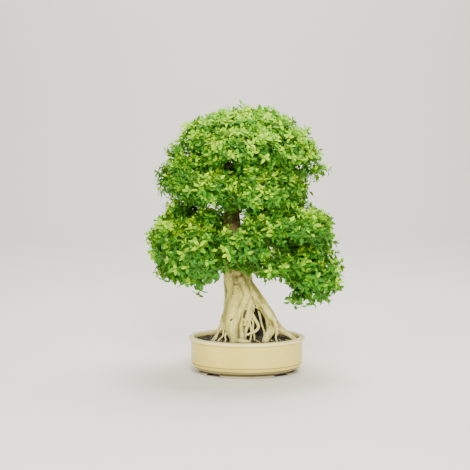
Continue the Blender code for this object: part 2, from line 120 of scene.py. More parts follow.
class Graph:
    """A node tree that is written as expressions."""

    def __init__(self, tree):
        self.tree = tree

    def add(self, kind, settings=None, values=None, out=0):
        """Adds a node: its settings first, then its sockets by name or number. Returns its output, if any."""
        node = self.tree.nodes.new(kind)
        for name, value in (settings or {}).items():
            if name == "stops":
                self.set_stops(node.color_ramp, value)
            else:
                setattr(node, name, value)
        for key, value in (values or {}).items():
            self.feed(self.find(node.inputs, key), value)
        return Term(self, self.find(node.outputs, out)) if node.outputs else None

    def find(self, sockets, key):
        shown = [socket for socket in sockets if socket.enabled]
        return shown[key] if isinstance(key, int) else next(s for s in shown if s.name == key)

    def feed(self, socket, value):
        if isinstance(value, Term):
            self.tree.links.new(value.socket, socket)
        elif isinstance(value, tuple) and socket.type == "RGBA" and len(value) == 3:
            socket.default_value = (*value, 1.0)
        else:
            socket.default_value = value

    def set_stops(self, ramp, stops):
        while len(ramp.elements) < len(stops):
            ramp.elements.new(1.0)
        for element, (position, colour) in zip(ramp.elements, stops):
            element.position = position
            element.color = (*colour, 1.0)

    def number(self, operation, *values):
        return self.add("ShaderNodeMath", {"operation": operation}, dict(enumerate(values)))

    def blend(self, share, a, b):
        """Colour a where share is 0, colour b where it is 1."""
        settings = {"data_type": "RGBA", "clamp_factor": True}
        return self.add("ShaderNodeMix", settings, {"Factor": share, "A": a, "B": b})

    def grain(self, place, scale, detail=3.0, roughness=0.55, distortion=0.0):
        """Soft noise from 0 to 1: a greater scale makes it finer."""
        values = {"Vector": place, "Scale": scale, "Detail": detail, "Roughness": roughness}
        return self.add("ShaderNodeTexNoise", {}, {**values, "Distortion": distortion}, "Fac")

    def axis(self, vector, name):
        return self.add("ShaderNodeSeparateXYZ", {}, {0: vector}, name)

    def attribute(self, name, out="Fac"):
        return self.add("ShaderNodeAttribute", {"attribute_name": name}, {}, out)


def new_material(name):
    """(material, its graph, object coordinates)."""
    mat = bpy.data.materials.new(name)
    mat.use_nodes = True
    mat.node_tree.nodes.clear()
    graph = Graph(mat.node_tree)
    return mat, graph, graph.add("ShaderNodeTexCoord", out="Object")


def finish_material(graph, values, surface=None):
    """A Principled shader with those values, shown as it is or inside what surface makes of it."""
    shader = graph.add("ShaderNodeBsdfPrincipled", {}, values)
    shown = surface(shader) if surface else shader
    graph.add("ShaderNodeOutputMaterial", {}, {"Surface": shown})


def bumped(graph, height, distance, strength=1.0):
    values = {"Strength": strength, "Distance": distance, "Height": height}
    return graph.add("ShaderNodeBump", {}, values, "Normal")


def new_piece(name, mesh, mat):
    piece = bpy.data.objects.new(name, mesh)
    bpy.context.scene.collection.objects.link(piece)
    if mat:
        mesh.materials.clear()
        mesh.materials.append(mat)
    mesh.shade_smooth()
    return piece


def finished_mesh(bm, name):
    """The mesh that a bmesh holds, which is then freed."""
    mesh = bpy.data.meshes.new(name)
    bm.to_mesh(mesh)
    bm.free()
    return mesh


def baked(piece):
    """Turns what the piece's modifiers make into its plain mesh."""
    graph = bpy.context.evaluated_depsgraph_get()
    mesh = bpy.data.meshes.new_from_object(piece.evaluated_get(graph))
    piece.modifiers.clear()
    piece.data = mesh
    return piece


def stand_in_for(piece, slot, *nodes):
    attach(piece, "root")
    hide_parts(*nodes)


def wall_inset(z):
    """How far the pot's outer wall is inside the rim's outline: straight above, rounded in below."""
    share = min(max(0.0, (BELLY_TOP - z) / (BELLY_TOP - BELLY_BOTTOM)), 1.0)
    return RIM_OVERHANG + BELLY_TUCK * (1 - math.sqrt(1 - share**2))


def inner_inset(z):
    return wall_inset(z) + POT_WALL


def corner(inset, z, radius, start, end, steps=5):
    """An arc of the pot's section about (inset, z). Angles are in degrees, 0 pointing inwards and 90 up."""
    turns = (math.radians(start + (end - start) * k / steps) for k in range(steps + 1))
    return [(inset + radius * math.cos(turn), z + radius * math.sin(turn)) for turn in turns]


def oval_loft(rings, sides=POT_SIDES, lumps=None):
    """A closed mesh through rings of (inset, height) inside the rim's outline. lumps(point) moves a point."""
    bm = bmesh.new()
    loops = []
    for inset, z in rings:
        loop = []
        for k in range(sides):
            turn = 2 * math.pi * k / sides
            across, back = POT_HALF_LENGTH - inset, POT_HALF_DEPTH - inset
            at = Vector((across * math.cos(turn), back * math.sin(turn), z))
            loop.append(bm.verts.new(at + (lumps(at) if lumps else Vector())))
        loops.append(loop)
    for below, above in zip(loops, loops[1:]):
        for k in range(sides):
            after = (k + 1) % sides
            bm.faces.new((below[k], below[after], above[after], above[k]))
    for loop in (loops[0], loops[-1]):
        middle = bm.verts.new(sum((vert.co for vert in loop), Vector()) / sides)
        for k in range(sides):
            bm.faces.new((loop[k], loop[(k + 1) % sides], middle))
    bmesh.ops.recalc_face_normals(bm, faces=bm.faces)
    return finished_mesh(bm, "oval")


def groove(z, depth=2.0 * MM, half=1.5 * MM):
    """A soft line cut round the wall."""
    return [
        (wall_inset(z + half * share) + depth * math.cos(share * math.pi / 2) ** 2, z + half * share)
        for share in (-1.0, -0.7, -0.4, 0.0, 0.4, 0.7, 1.0)
    ]


def along_wall(inset, *heights):
    """Points of the section at heights in mm, on the wall whose inset is given."""
    return [(inset(z * MM), z * MM) for z in heights]


def pot_section():
    """From the middle of the underside, round a foot, up the wall, over the rim and down to the floor."""
    foot = wall_inset(FOOT_TOP) + FOOT_INSET
    inner_foot = foot + FOOT_WIDTH
    section = [(inner_foot + 30 * MM, POT_FLOOR_BELOW), (inner_foot, POT_FLOOR_BELOW)]
    section += [(inner_foot - 1 * MM, POT_FLOOR_BELOW - 1 * MM), (inner_foot - 1 * MM, 1 * MM)]
    section += [(inner_foot - 2 * MM, 0.0), (foot + STAND_ROUND, 0.0)]
    section += corner(foot + STAND_ROUND, STAND_ROUND, STAND_ROUND, 255, 180)
    section += [(foot - 2.2 * MM, 3.6 * MM)]
    section += corner(foot - 0.4 * MM, FOOT_LIP - 0.6 * MM, LIP_ROUND, 180, 80)
    recess = foot + 4.6 * MM
    section += [(foot + 2.6 * MM, FOOT_LIP + 1.8 * MM), (recess, 8.4 * MM), (recess, 11.4 * MM)]
    section += [(foot + 2.4 * MM, FOOT_TOP - 0.8 * MM), (foot - 1.0 * MM, FOOT_TOP - 0.4 * MM)]
    section += along_wall(wall_inset, 13.6, 14.4, 15.4, 16.6, 18.0, 19.4) + groove(CUT_LINES[0])
    section += along_wall(wall_inset, 25.4, 28.0, 30.4) + groove(CUT_LINES[1])
    section += along_wall(wall_inset, 37, 40, 46, 56, 68, 80, 90, 96)
    under = POT_HEIGHT - RIM_HEIGHT
    section += [(RIM_OVERHANG, under - 2.2 * MM), (RIM_OVERHANG - 0.4 * MM, under - 0.8 * MM)]
    section += [(RIM_OVERHANG - 1.6 * MM, under)]
    section += corner(RIM_UNDER_ROUND, under + RIM_UNDER_ROUND, RIM_UNDER_ROUND, 270, 180)
    section += corner(RIM_OUTER_ROUND, POT_HEIGHT - RIM_OUTER_ROUND, RIM_OUTER_ROUND, 180, 90)
    mouth = RIM_OVERHANG + POT_WALL
    section += corner(mouth - RIM_INNER_ROUND, POT_HEIGHT - RIM_INNER_ROUND, RIM_INNER_ROUND, 90, 0)
    section += along_wall(inner_inset, 95, 80, 62, 50, 40, 36, 32, 28, 25, 22, 20)
    floor_edge = inner_inset(POT_FLOOR_TOP)
    section += [(floor_edge + 2 * MM, POT_FLOOR_TOP), (floor_edge + 40 * MM, POT_FLOOR_TOP)]
    return section


def pot_glaze():
    """Satin cream glaze: thin and browner on edges, glaze pooling in the cut lines and darkened further there
    as painted shade, painted shade in the foot's recess and inside the mouth, painted highlights on the
    foot's lip and the rim, bare clay under the feet.
    """
    mat, graph, place = new_material("cream_glaze")
    x, y, z = (graph.axis(place, name) for name in "XYZ")
    cloud = graph.grain(place, 9.0, 3.0)
    curdle = graph.grain(place, 160.0, 4.0, 0.6)
    speck = graph.add("ShaderNodeTexVoronoi", {}, {"Vector": place, "Scale": 260.0}, "Distance")
    rare = graph.grain(place, 70.0, 1.0)
    base = graph.blend(cloud.span(0.35, 0.65), (0.79, 0.625, 0.110), (0.87, 0.715, 0.145))
    base = graph.blend(curdle.span(0.45, 0.75) * 0.30, base, (0.94, 0.82, 0.23))
    base = graph.blend(speck.span(0.16, 0.06) * rare.span(0.55, 0.68) * 0.55, base, (0.30, 0.20, 0.10))
    # Glaze pooling in the two cut lines, darkened further as painted shade in them.
    pooled_glaze_and_shade = sum((1 - (z - line).math("ABSOLUTE").span(0.4 * MM, 1.5 * MM) for line in CUT_LINES), 0.0)
    base = graph.blend(pooled_glaze_and_shade * 0.92, base, (0.24, 0.17, 0.05))
    # Painted shade in the foot's recess under the belly.
    recess = z.span(15.0 * MM, 12.8 * MM) * z.span(7.2 * MM, 8.2 * MM)
    base = graph.blend(recess * 0.85, base, (0.20, 0.145, 0.05))
    # Painted highlight on the foot's lip.
    lip = z.span(8.0 * MM, 7.0 * MM)
    base = graph.blend(lip, base, (1.0, 0.93, 0.58))
    # Painted highlight along the rim, patchy with the glaze's cloud.
    rim = z.span(101 * MM, 104 * MM) * (0.35 + 0.3 * cloud)
    base = graph.blend(rim, base, (1.0, 0.93, 0.50))
    edge = z.span(POT_HEIGHT - 1.6 * MM, POT_HEIGHT) * curdle.span(0.4, 0.6) * 0.35
    base = graph.blend(edge, base, (0.55, 0.42, 0.24))
    # Painted shade on the inner wall inside the mouth, darkening down towards the soil.
    mouth = 12 * MM
    reach = ((x / (POT_HALF_LENGTH - mouth)) ** 2.0) + ((y / (POT_HALF_DEPTH - mouth)) ** 2.0)
    inside = reach.span(1.0, 0.97)
    painted_mouth_shade = inside * z.span(109 * MM, 99 * MM) * (0.45 + 0.5 * cloud)
    base = graph.blend(painted_mouth_shade, base, (0.13, 0.10, 0.055))
    bare = z.span(1.3 * MM, 0.5 * MM)
    base = graph.blend(bare, base, (0.36, 0.28, 0.20))
    glazed = 0.30 + 0.16 * cloud + 0.08 * curdle
    rough = graph.add("ShaderNodeMix", {}, {"Factor": bare, "A": glazed, "B": 0.85})
    normal = bumped(graph, graph.grain(place, 38.0, 2.0) * 0.7 + curdle * 0.18, 0.5 * MM, 0.5)
    finish_material(graph, {"Base Color": base, "Roughness": rough, "Normal": normal, "Coat Weight": 0.25,
                            "Coat Roughness": 0.25})
    return mat


def arch_wedge(angle):
    """What is cut out of the foot ring between two feet, wider at the bottom."""
    bm = bmesh.new()
    bmesh.ops.create_cube(bm, size=1.0)
    for vert in bm.verts:
        half = ARCH_HALF + math.copysign(ARCH_FLARE, -vert.co.z)
        vert.co = Vector((vert.co.x * ARCH_THROUGH, math.copysign(half, vert.co.y), vert.co.z * ARCH_TALL))
    inset = wall_inset(FOOT_TOP) + FOOT_INSET + FOOT_WIDTH / 2
    half_length, half_depth = POT_HALF_LENGTH - inset, POT_HALF_DEPTH - inset
    spin = math.atan2(half_length * math.sin(angle), half_depth * math.cos(angle))
    place = Matrix.Translation((half_length * math.cos(angle), half_depth * math.sin(angle), 0.0))
    bmesh.ops.transform(bm, matrix=place @ Matrix.Rotation(spin, 4, "Z"), verts=bm.verts)
    return new_piece("arch_tool", finished_mesh(bm, "arch"), None)


def drain_plug(x):
    bm = bmesh.new()
    floor_middle = (POT_FLOOR_BELOW + POT_FLOOR_TOP) / 2
    bmesh.ops.create_cone(bm, cap_ends=True, segments=48, radius1=DRAIN_RADIUS, radius2=DRAIN_RADIUS,
                          depth=40 * MM, matrix=Matrix.Translation((x, 0.0, floor_middle)))
    return new_piece("drain_tool", finished_mesh(bm, "drain"), None)


pot = new_piece("oval_pot", oval_loft(pot_section()), pot_glaze())
pot_tools = [arch_wedge(side * math.pi / 2 + ARCH_ANGLE * end) for side in (1, -1) for end in (1, -1)]
pot_tools += [drain_plug(x) for x in (-DRAIN_X, DRAIN_X)]
for tool in pot_tools:
    opening = pot.modifiers.new("Opening", "BOOLEAN")
    opening.operation = "DIFFERENCE"
    opening.object = tool
soften = pot.modifiers.new("Soft edges", "BEVEL")
soften.width = 0.7 * MM
soften.segments = 2
soften.angle_limit = POT_CREASE
baked(pot)
for tool in pot_tools:
    bpy.data.objects.remove(tool)
pot.data.shade_smooth()
pot.data.set_sharp_from_angle(angle=POT_CREASE)
stand_in_for(pot, "pot_glaze", "pot")

# ---- Drainage
# A black plastic mesh lies over each drain hole and is held by a bent aluminium wire, whose legs pass through
# the hole. A layer of pumice covers both. They keep the solids' own shapes and only get their finish here.


def mesh_plastic():
    mat, graph, place = new_material("black_mesh_plastic")
    dust = graph.grain(place, 300.0, 4.0)
    base = graph.blend(dust.span(0.5, 0.75) * 0.6, (0.018, 0.018, 0.017), (0.10, 0.085, 0.06))
    normal = bumped(graph, dust, 0.15 * MM, 0.4)
    finish_material(graph, {"Base Color": base, "Roughness": 0.42 + 0.3 * dust, "Normal": normal})
    return mat


def dull_wire():
    mat, graph, place = new_material("dull_aluminium_wire")
    film = graph.grain(place, 220.0, 4.0)
    base = graph.blend(film.span(0.4, 0.7), (0.78, 0.78, 0.77), (0.50, 0.48, 0.44))
    normal = bumped(graph, film, 0.1 * MM, 0.3)
    rough = 0.32 + 0.25 * film
    finish_material(graph, {"Base Color": base, "Metallic": 1.0, "Roughness": rough, "Normal": normal})
    return mat


def pumice():
    mat, graph, place = new_material("pumice_layer")
    stones = {"Vector": place, "Scale": 150.0}
    stone = graph.add("ShaderNodeTexVoronoi", {}, stones, "Color")
    gap = graph.add("ShaderNodeTexVoronoi", {"feature": "DISTANCE_TO_EDGE"}, stones)
    pore = graph.grain(place, 900.0, 3.0)
    shade = graph.add("ShaderNodeSeparateColor", {}, {0: stone}, "Red")
    base = graph.blend(shade, (0.32, 0.25, 0.17), (0.58, 0.52, 0.42))
    # Painted shade in the gaps between the stones.
    base = graph.blend(gap.span(0.10, 0.0) * 0.85, base, (0.05, 0.04, 0.03))
    height = gap.span(0.0, 0.2) + 0.2 * pore
    finish_material(graph, {"Base Color": base, "Roughness": 0.9, "Normal": bumped(graph, height, 1.5 * MM)})
    return mat


def repaint(names, mat):
    for name in names:
        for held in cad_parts[name].material_slots:
            held.material = mat


repaint(("drain_screen_left", "drain_screen_right"), mesh_plastic())
repaint(("screen_wire_left", "screen_wire_right"), dull_wire())
repaint(("drainage_gravel",), pumice())

# ---- Soil
# A dark mix of baked clay grains and humus, mounded towards the trunk and kept below the rim, with loose
# grains on top and small cushions of moss.

SOIL_EDGE = 99 * MM
SOIL_MOUND = 12 * MM
SOIL_HALF_LENGTH = POT_HALF_LENGTH - inner_inset(SOIL_EDGE)
SOIL_HALF_DEPTH = POT_HALF_DEPTH - inner_inset(SOIL_EDGE)
SOIL_GAP, SOIL_RINGS, SOIL_SIDES = 0.4 * MM, 34, 120


def soil_lumps(at):
    """Lifts points of the soil's top only."""
    if at.z < SOIL_EDGE - 1 * MM:
        return Vector()
    return Vector((0.0, 0.0, 2.2 * MM * noise.noise(at * 60.0) + 1.2 * MM * noise.noise(at * 170.0)))


def mound_height(share):
    """Height of the mound, share of the way from its edge to its middle."""
    return SOIL_EDGE + SOIL_MOUND * math.sin(share * math.pi / 2) ** 2


def soil_height(x, y):
    return mound_height(max(0.0, 1 - math.hypot(x / SOIL_HALF_LENGTH, y / SOIL_HALF_DEPTH)))


def soil_bed():
    rings = [(inset + SOIL_GAP, z) for inset, z in along_wall(inner_inset, 36.5, 40, 50, 62, 80, 98)]
    edge = inner_inset(SOIL_EDGE) + SOIL_GAP
    for step in range(SOIL_RINGS):
        share = step / SOIL_RINGS
        rings.append((edge + SOIL_HALF_DEPTH * share, mound_height(share)))
    return oval_loft([(edge + 60 * MM, 36 * MM), *rings], SOIL_SIDES, soil_lumps)


def earth():
    mat, graph, place = new_material("dark_earth")
    crumb = graph.add("ShaderNodeTexVoronoi", {}, {"Vector": place, "Scale": 330.0}, "Distance")
    damp = graph.grain(place, 22.0, 4.0)
    fine = graph.grain(place, 700.0, 4.0)
    base = graph.blend(fine.span(0.3, 0.7), (0.010, 0.009, 0.006), (0.052, 0.042, 0.026))
    base = graph.blend(damp.span(0.52, 0.68) * 0.55, base, (0.045, 0.060, 0.018))
    normal = bumped(graph, crumb.span(0.6, 0.0) + 0.3 * fine, 1.2 * MM)
    finish_material(graph, {"Base Color": base, "Roughness": 0.95 - 0.25 * damp, "Normal": normal})
    return mat


def grain_stone():
    """Baked clay grains: near black where wet, brown and grey where dry."""
    mat, graph, place = new_material("baked_clay_grain")
    tone = graph.attribute("tone")
    fine = graph.grain(place, 900.0, 3.0)
    stops = ((0.0, (0.008, 0.007, 0.005)), (0.45, (0.030, 0.024, 0.016)), (0.78, (0.085, 0.060, 0.036)),
             (1.0, (0.21, 0.175, 0.125)))
    base = graph.add("ShaderNodeValToRGB", {"stops": stops}, {"Fac": tone}, "Color")
    base = graph.blend(fine.span(0.35, 0.7) * 0.4, base, (0.012, 0.011, 0.008))
    normal = bumped(graph, fine, 0.4 * MM, 0.6)
    finish_material(graph, {"Base Color": base, "Roughness": 0.88, "Normal": normal})
    return mat


def moss():
    mat, graph, place = new_material("moss")
    tone = graph.attribute("tone")
    base = graph.blend(tone, (0.030, 0.070, 0.012), (0.135, 0.215, 0.030))
    base = graph.blend(graph.grain(place, 500.0, 2.0).span(0.4, 0.7) * 0.4, base, (0.06, 0.05, 0.02))
    finish_material(graph, {"Base Color": base, "Roughness": 0.85})
    return mat


# What every scatter takes: name, kind of socket and the value it starts with.
SCATTER_INPUTS = (
    ("Geometry", "Geometry", None), ("Shapes", "Collection", None), ("Finish", "Material", None),
    ("Spacing", "Float", 4 * MM), ("Share", "Float", 1.0), ("Smallest", "Float", 0.8),
    ("Largest", "Float", 1.2), ("Sink", "Float", 0.0), ("Seed", "Int", 1),
)


def scatter_tree(name, *more):
    """Starts a tree that strews shapes: (tree, its graph, its inputs by name, a random source)."""
    tree = bpy.data.node_groups.new(name, "GeometryNodeTree")
    for title, kind, start in (*SCATTER_INPUTS, *more):
        socket = tree.interface.new_socket(name=title, in_out="INPUT", socket_type="NodeSocket" + kind)
        if start is not None:
            socket.default_value = start
    tree.interface.new_socket(name="Geometry", in_out="OUTPUT", socket_type="NodeSocketGeometry")
    graph = Graph(tree)
    given = tree.nodes.new("NodeGroupInput")

    def inputs(key):
        return Term(graph, given.outputs[key])

    def chance(low, high, salt, kind="FLOAT"):
        values = {"Min": low, "Max": high, "Seed": inputs("Seed") + salt}
        return graph.add("FunctionNodeRandomValue", {"data_type": kind}, values)

    return tree, graph, inputs, chance


def send(tree, graph, geometry, finish):
    """Ends a scatter: instances made real, given their material, and put out."""
    real = graph.add("GeometryNodeRealizeInstances", {}, {"Geometry": geometry})
    painted = graph.add("GeometryNodeSetMaterial", {}, {"Geometry": real, "Material": finish})
    out = tree.nodes.new("NodeGroupOutput")
    tree.links.new(painted.socket, out.inputs["Geometry"])
    return tree


def keep(graph, geometry, name, value, kind="FLOAT", domain="INSTANCE"):
    """Stores a value on the geometry under a name, for a material or a later node to read."""
    settings = {"data_type": kind, "domain": domain}
    values = {"Geometry": geometry, "Name": name, "Value": value}
    return graph.add("GeometryNodeStoreNamedAttribute", settings, values)


def picked_shapes(graph, inputs):
    """The collection's shapes as separate instances, for Instance on Points to pick from."""
    values = {"Collection": inputs("Shapes"), "Separate Children": True, "Reset Children": True}
    return graph.add("GeometryNodeCollectionInfo", {}, values)


def on_faces(graph, inputs, surface, share, **values):
    """Points on a surface, no two nearer than Spacing, with that share of them kept."""
    sockets = {name.replace("_", " "): value for name, value in values.items()}
    sockets.update({"Mesh": surface, "Distance Min": inputs("Spacing"), "Density Factor": share})
    sockets["Seed"] = inputs("Seed")
    settings = {"distribute_method": "POISSON"}
    return graph.add("GeometryNodeDistributePointsOnFaces", settings, sockets, "Points")


def strewn_tree():
    """Loose grains: on the upward faces of a bed, each turned at random."""
    tree, graph, inputs, chance = scatter_tree("strewn")
    normal = graph.add("GeometryNodeInputNormal", {}, {}, "Normal")
    upward = graph.axis(normal, "Z").math("GREATER_THAN", 0.55)
    place = graph.add("GeometryNodeInputPosition")
    patch = graph.grain(place, 26.0, 2.0).math("LESS_THAN", inputs("Share"))
    spread = on_faces(graph, inputs, inputs("Geometry"), patch, Selection=upward, Density_Max=4e5)
    lift = graph.add("ShaderNodeCombineXYZ", {}, {"Z": inputs("Sink") * chance(-1.0, 0.4, 5)})
    spread = graph.add("GeometryNodeSetPosition", {}, {"Geometry": spread, "Offset": lift})
    shapes = picked_shapes(graph, inputs)
    size = chance(inputs("Smallest"), inputs("Largest"), 2)
    turn = chance((-3.14,) * 3, (3.14,) * 3, 3, "FLOAT_VECTOR")
    made = graph.add("GeometryNodeInstanceOnPoints", {}, {
        "Points": spread, "Instance": shapes, "Pick Instance": True, "Rotation": turn, "Scale": size})
    made = keep(graph, made, "tone", chance(0.0, 1.0, 4))
    return send(tree, graph, made, inputs("Finish"))


def shape_store(name, meshes):
    """A hidden collection of small shapes for a scatter to pick from."""
    store = bpy.data.collections.new(name)
    for number, mesh in enumerate(meshes):
        store.objects.link(bpy.data.objects.new(f"{name}_{number}", mesh))
    return store


def scattered(name, base, tree, **settings):
    """A piece made by a scatter tree over a mesh. The settings are the tree's inputs, set by identifier."""
    piece = bpy.data.objects.new(name, base)
    bpy.context.scene.collection.objects.link(piece)
    maker = piece.modifiers.new("Scatter", "NODES")
    maker.node_group = tree
    sockets = {item.name: item.identifier for item in tree.interface.items_tree if item.in_out == "INPUT"}
    for key, value in settings.items():
        maker[sockets[key]] = value
    return baked(piece)


def clay_grain(seed):
    bm = bmesh.new()
    bmesh.ops.create_icosphere(bm, subdivisions=1, radius=2.3 * MM)
    rng = random.Random(seed)
    for vert in bm.verts:
        vert.co *= rng.uniform(0.62, 1.12)
    return finished_mesh(bm, "clay_grain")


def moss_tuft(seed):
    bm = bmesh.new()
    rng = random.Random(seed)
    for _ in range(7):
        turn = rng.uniform(0, 2 * math.pi)
        lean = rng.uniform(0.2, 1.0)
        out = Vector((math.cos(turn), math.sin(turn), 0.0))
        side = Vector((-out.y, out.x, 0.0)) * 0.35 * MM
        tip = out * 2.0 * MM * lean + Vector((0.0, 0.0, rng.uniform(1.6, 3.0) * MM))
        foot = out * 0.3 * MM
        bm.faces.new([bm.verts.new(at) for at in (foot - side, foot + side, tip)])
    return finished_mesh(bm, "moss_tuft")


soil_mesh = soil_bed()
soil = new_piece("soil_bed", soil_mesh.copy(), earth())
stand_in_for(soil, "soil", "soil")
strewn = strewn_tree()
clay_grains = shape_store("clay_grains", map(clay_grain, range(5)))
grit = scattered("soil_grains", soil_mesh.copy(), strewn, Shapes=clay_grains, Finish=grain_stone(),
                 Spacing=3.4 * MM, Share=1.0, Smallest=0.5, Largest=1.25, Sink=1.6 * MM, Seed=11)
stand_in_for(grit, "soil", "soil")
moss_tufts = shape_store("moss_tufts", map(moss_tuft, range(4)))
tufts = scattered("soil_moss", soil_mesh.copy(), strewn, Shapes=moss_tufts, Finish=moss(),
                  Spacing=1.7 * MM, Share=0.40, Smallest=0.7, Largest=1.2, Sink=0.4 * MM, Seed=23)
stand_in_for(tufts, "soil", "soil")

# ---- Trunk and roots
# One living trunk, smooth tan bark over fused surface roots. The right-hand buttress stands clear of the
# middle, so a narrow hollow opens between them. Branch collars swell from the trunk where the limbs leave it.

# Strands of the trunk and its roots: x, y, z and radius of each point, in mm. First the trunk's own axis.
TRUNK_AXIS = (
    (-33, 14, 80, 24.0), (-33, 14, 110, 26.0), (-32, 12, 150, 28.0), (-26, 8, 190, 33.0), (-22, 4, 225, 37.0),
    (-23, 2, 258, 38.5), (-29, 3, 293, 41.0), (-31, 4, 331, 40.5), (-41, 6, 402, 31.7), (-46, 8, 479, 25.5),
    (-43, 6, 557, 19.8), (-30, 2, 627, 14.1), (-18, 0, 673, 10.6), (-14, 0, 715, 8.8),
)
# Right buttress and its two legs, front buttress and its foot, the folds between, the left knob, the back
# roots.
ROOT_LINES = (
    ((-2, -3, 268, 26.0), (26, -10, 230, 24.0), (58, -17, 195, 17.0), (77, -20, 163, 17.0),
     (78, -24, 146, 14.5), (70, -38, 127, 12.0), (58, -50, 108, 10.5), (52, -56, 88, 9.0)),
    ((70, -16, 175, 14.0), (88, -22, 154, 13.0), (106, -26, 136, 10.5), (126, -26, 121, 9.0),
     (146, -22, 105, 7.0), (156, -20, 90, 5.0)),
    ((-22, -10, 266, 29.0), (-31, -24, 228, 27.0), (-38, -36, 192, 26.0), (-43, -45, 160, 24.0),
     (-42, -51, 133, 19.5), (-39, -56, 113, 15.5), (-38, -58, 88, 14.0)),
    ((-54, -34, 176, 13.0), (-60, -42, 158, 11.5), (-56, -48, 142, 11.0), (-48, -52, 126, 10.0)),
    ((-34, -60, 112, 9.0), (-14, -64, 107, 7.5), (6, -63, 102, 6.0), (18, -60, 90, 5.0)),
    ((-6, -14, 246, 21.0), (-9, -28, 216, 18.0), (-16, -38, 190, 15.0), (-20, -46, 164, 12.5),
     (-18, -51, 140, 10.0), (-16, -56, 120, 9.0), (-14, -58, 88, 8.0)),
    ((14, -14, 240, 17.0), (12, -26, 208, 13.5), (7, -35, 182, 10.5), (1, -42, 157, 7.5), (-5, -48, 135, 6.0),
     (-8, -52, 112, 5.5), (-8, -52, 88, 5.0)),
    ((-42, -4, 214, 16.0), (-54, -9, 190, 15.0), (-66, -13, 170, 14.0), (-73, -16, 154, 11.5),
     (-72, -20, 138, 7.0)),
    ((-38, 8, 215, 18.0), (-50, 38, 150, 14.0), (-68, 60, 87, 9.0)),
    ((-10, 21, 219, 22.0), (-4, 50, 153, 19.0), (2, 80, 87, 12.3)),
    ((10, 16, 226, 22.0), (52, 41, 150, 16.0), (92, 62, 87, 9.7)),
    ((14, 22, 212, 20.0), (34, 34, 168, 18.0), (46, 42, 120, 15.0), (48, 44, 86, 13.0)),
    ((6, 24, 215, 20.0), (8, 34, 165, 20.0), (14, 42, 100, 18.0), (14, 42, 86, 16.0)),
)
# Ribs under the bark, which give the trunk its long soft folds.
RIBS = (
    ((-52, -20, 332, 13), (-50, -26, 285, 13), (-47, -27, 245, 13), (-56, -22, 210, 13), (-64, -22, 178, 11)),
    ((-8, -22, 330, 14), (-2, -24, 290, 13), (8, -22, 262, 13), (26, -24, 238, 12), (54, -28, 204, 10),
     (72, -34, 180, 10), (88, -36, 162, 7)),
    ((-20, -30, 300, 12), (-8, -32, 270, 12), (-2, -34, 242, 12), (-15, -42, 214, 12), (-27, -52, 188, 12),
     (-36, -59, 163, 11), (-42, -60, 130, 8)),
    ((-34, -30, 272, 11), (-34, -34, 238, 11), (-45, -36, 208, 10), (-57, -34, 184, 9), (-68, -28, 163, 7)),
    ((8, -26, 240, 9), (8, -34, 221, 8), (3, -39, 197, 8), (-4, -46, 172, 7), (-8, -50, 153, 6)),
    ((44, -22, 214, 9), (68, -32, 184, 8), (84, -36, 162, 7), (90, -36, 146, 6)),
    ((-60, 14, 300, 13), (-54, 20, 240, 15), (-58, 28, 190, 12), (-62, 40, 145, 7)),
    ((0, 18, 300, 15), (8, 24, 240, 15), (24, 30, 195, 11), (38, 38, 150, 6)),
    ((-34, 30, 330, 12), (-24, 34, 260, 13), (-14, 40, 205, 10), (-8, 46, 155, 6)),
)
# Thin roots that hang free in the hollow and beside the left knob.
HANGING_ROOTS = (
    ((4, -28, 202, 7.0), (16, -34, 184, 5.2), (26, -38, 169, 5.0), (34, -42, 155, 4.7), (33, -46, 142, 4.4),
     (17, -50, 131, 4.0), (-8, -53, 123, 3.8)),
    ((4, -30, 186, 6.0), (8, -38, 163, 3.4), (12, -43, 142, 3.0), (12, -47, 124, 2.8), (8, -50, 98, 2.4)),
    ((12, -22, 176, 5.0), (18, -34, 160, 3.0), (19, -41, 143, 2.7), (23, -45, 126, 2.4), (25, -47, 98, 2.2)),
    ((36, -8, 198, 5.0), (41, -14, 172, 3.2), (47, -19, 150, 2.8), (53, -25, 127, 2.5), (52, -27, 96, 2.2)),
    ((56, -16, 186, 6.0), (60, -19, 163, 4.4), (64, -24, 141, 3.8), (61, -30, 118, 3.2), (56, -34, 94, 2.8)),
    ((-70, -14, 156, 7.0), (-74, -24, 141, 3.6), (-87, -30, 132, 2.4), (-93, -44, 116, 2.2),
     (-110, -46, 96, 1.8)),
    ((-64, -26, 152, 6.0), (-70, -34, 134, 3.2), (-73, -48, 121, 2.4), (-86, -50, 108, 2.2),
     (-86, -58, 94, 1.8)),
    ((-74, -12, 150, 6.0), (-88, -16, 138, 2.6), (-92, -28, 122, 2.2), (-113, -32, 98, 1.8)),
    ((-70, -8, 160, 7.0), (-88, 2, 134, 3.4), (-96, 14, 112, 2.6), (-112, 18, 92, 2.0)),
    ((-58, -44, 140, 6.0), (-66, -50, 122, 2.6), (-64, -58, 108, 2.2), (-74, -62, 94, 1.8)),
    ((88, -34, 150, 6.0), (92, -42, 132, 3.6), (88, -52, 116, 3.0), (94, -60, 98, 2.4)),
)
# How high each limb leaves the trunk, in mm.
LIMB_HEIGHTS = {
    "crown_left": 595, "crown_right": 585, "crown_front": 606, "crown_back": 602, "upper_left": 521,
    "upper_front_left": 493, "upper_front": 511, "upper_right": 521, "upper_back_left": 500,
    "upper_back_right": 514, "lower_left": 381, "lower_front_left": 352, "lower_front": 395,
    "lower_front_right": 430, "lower_right": 416, "hanging_right": 323, "hanging_front_right": 321,
    "lower_back_left": 359, "lower_back_right": 409,
}
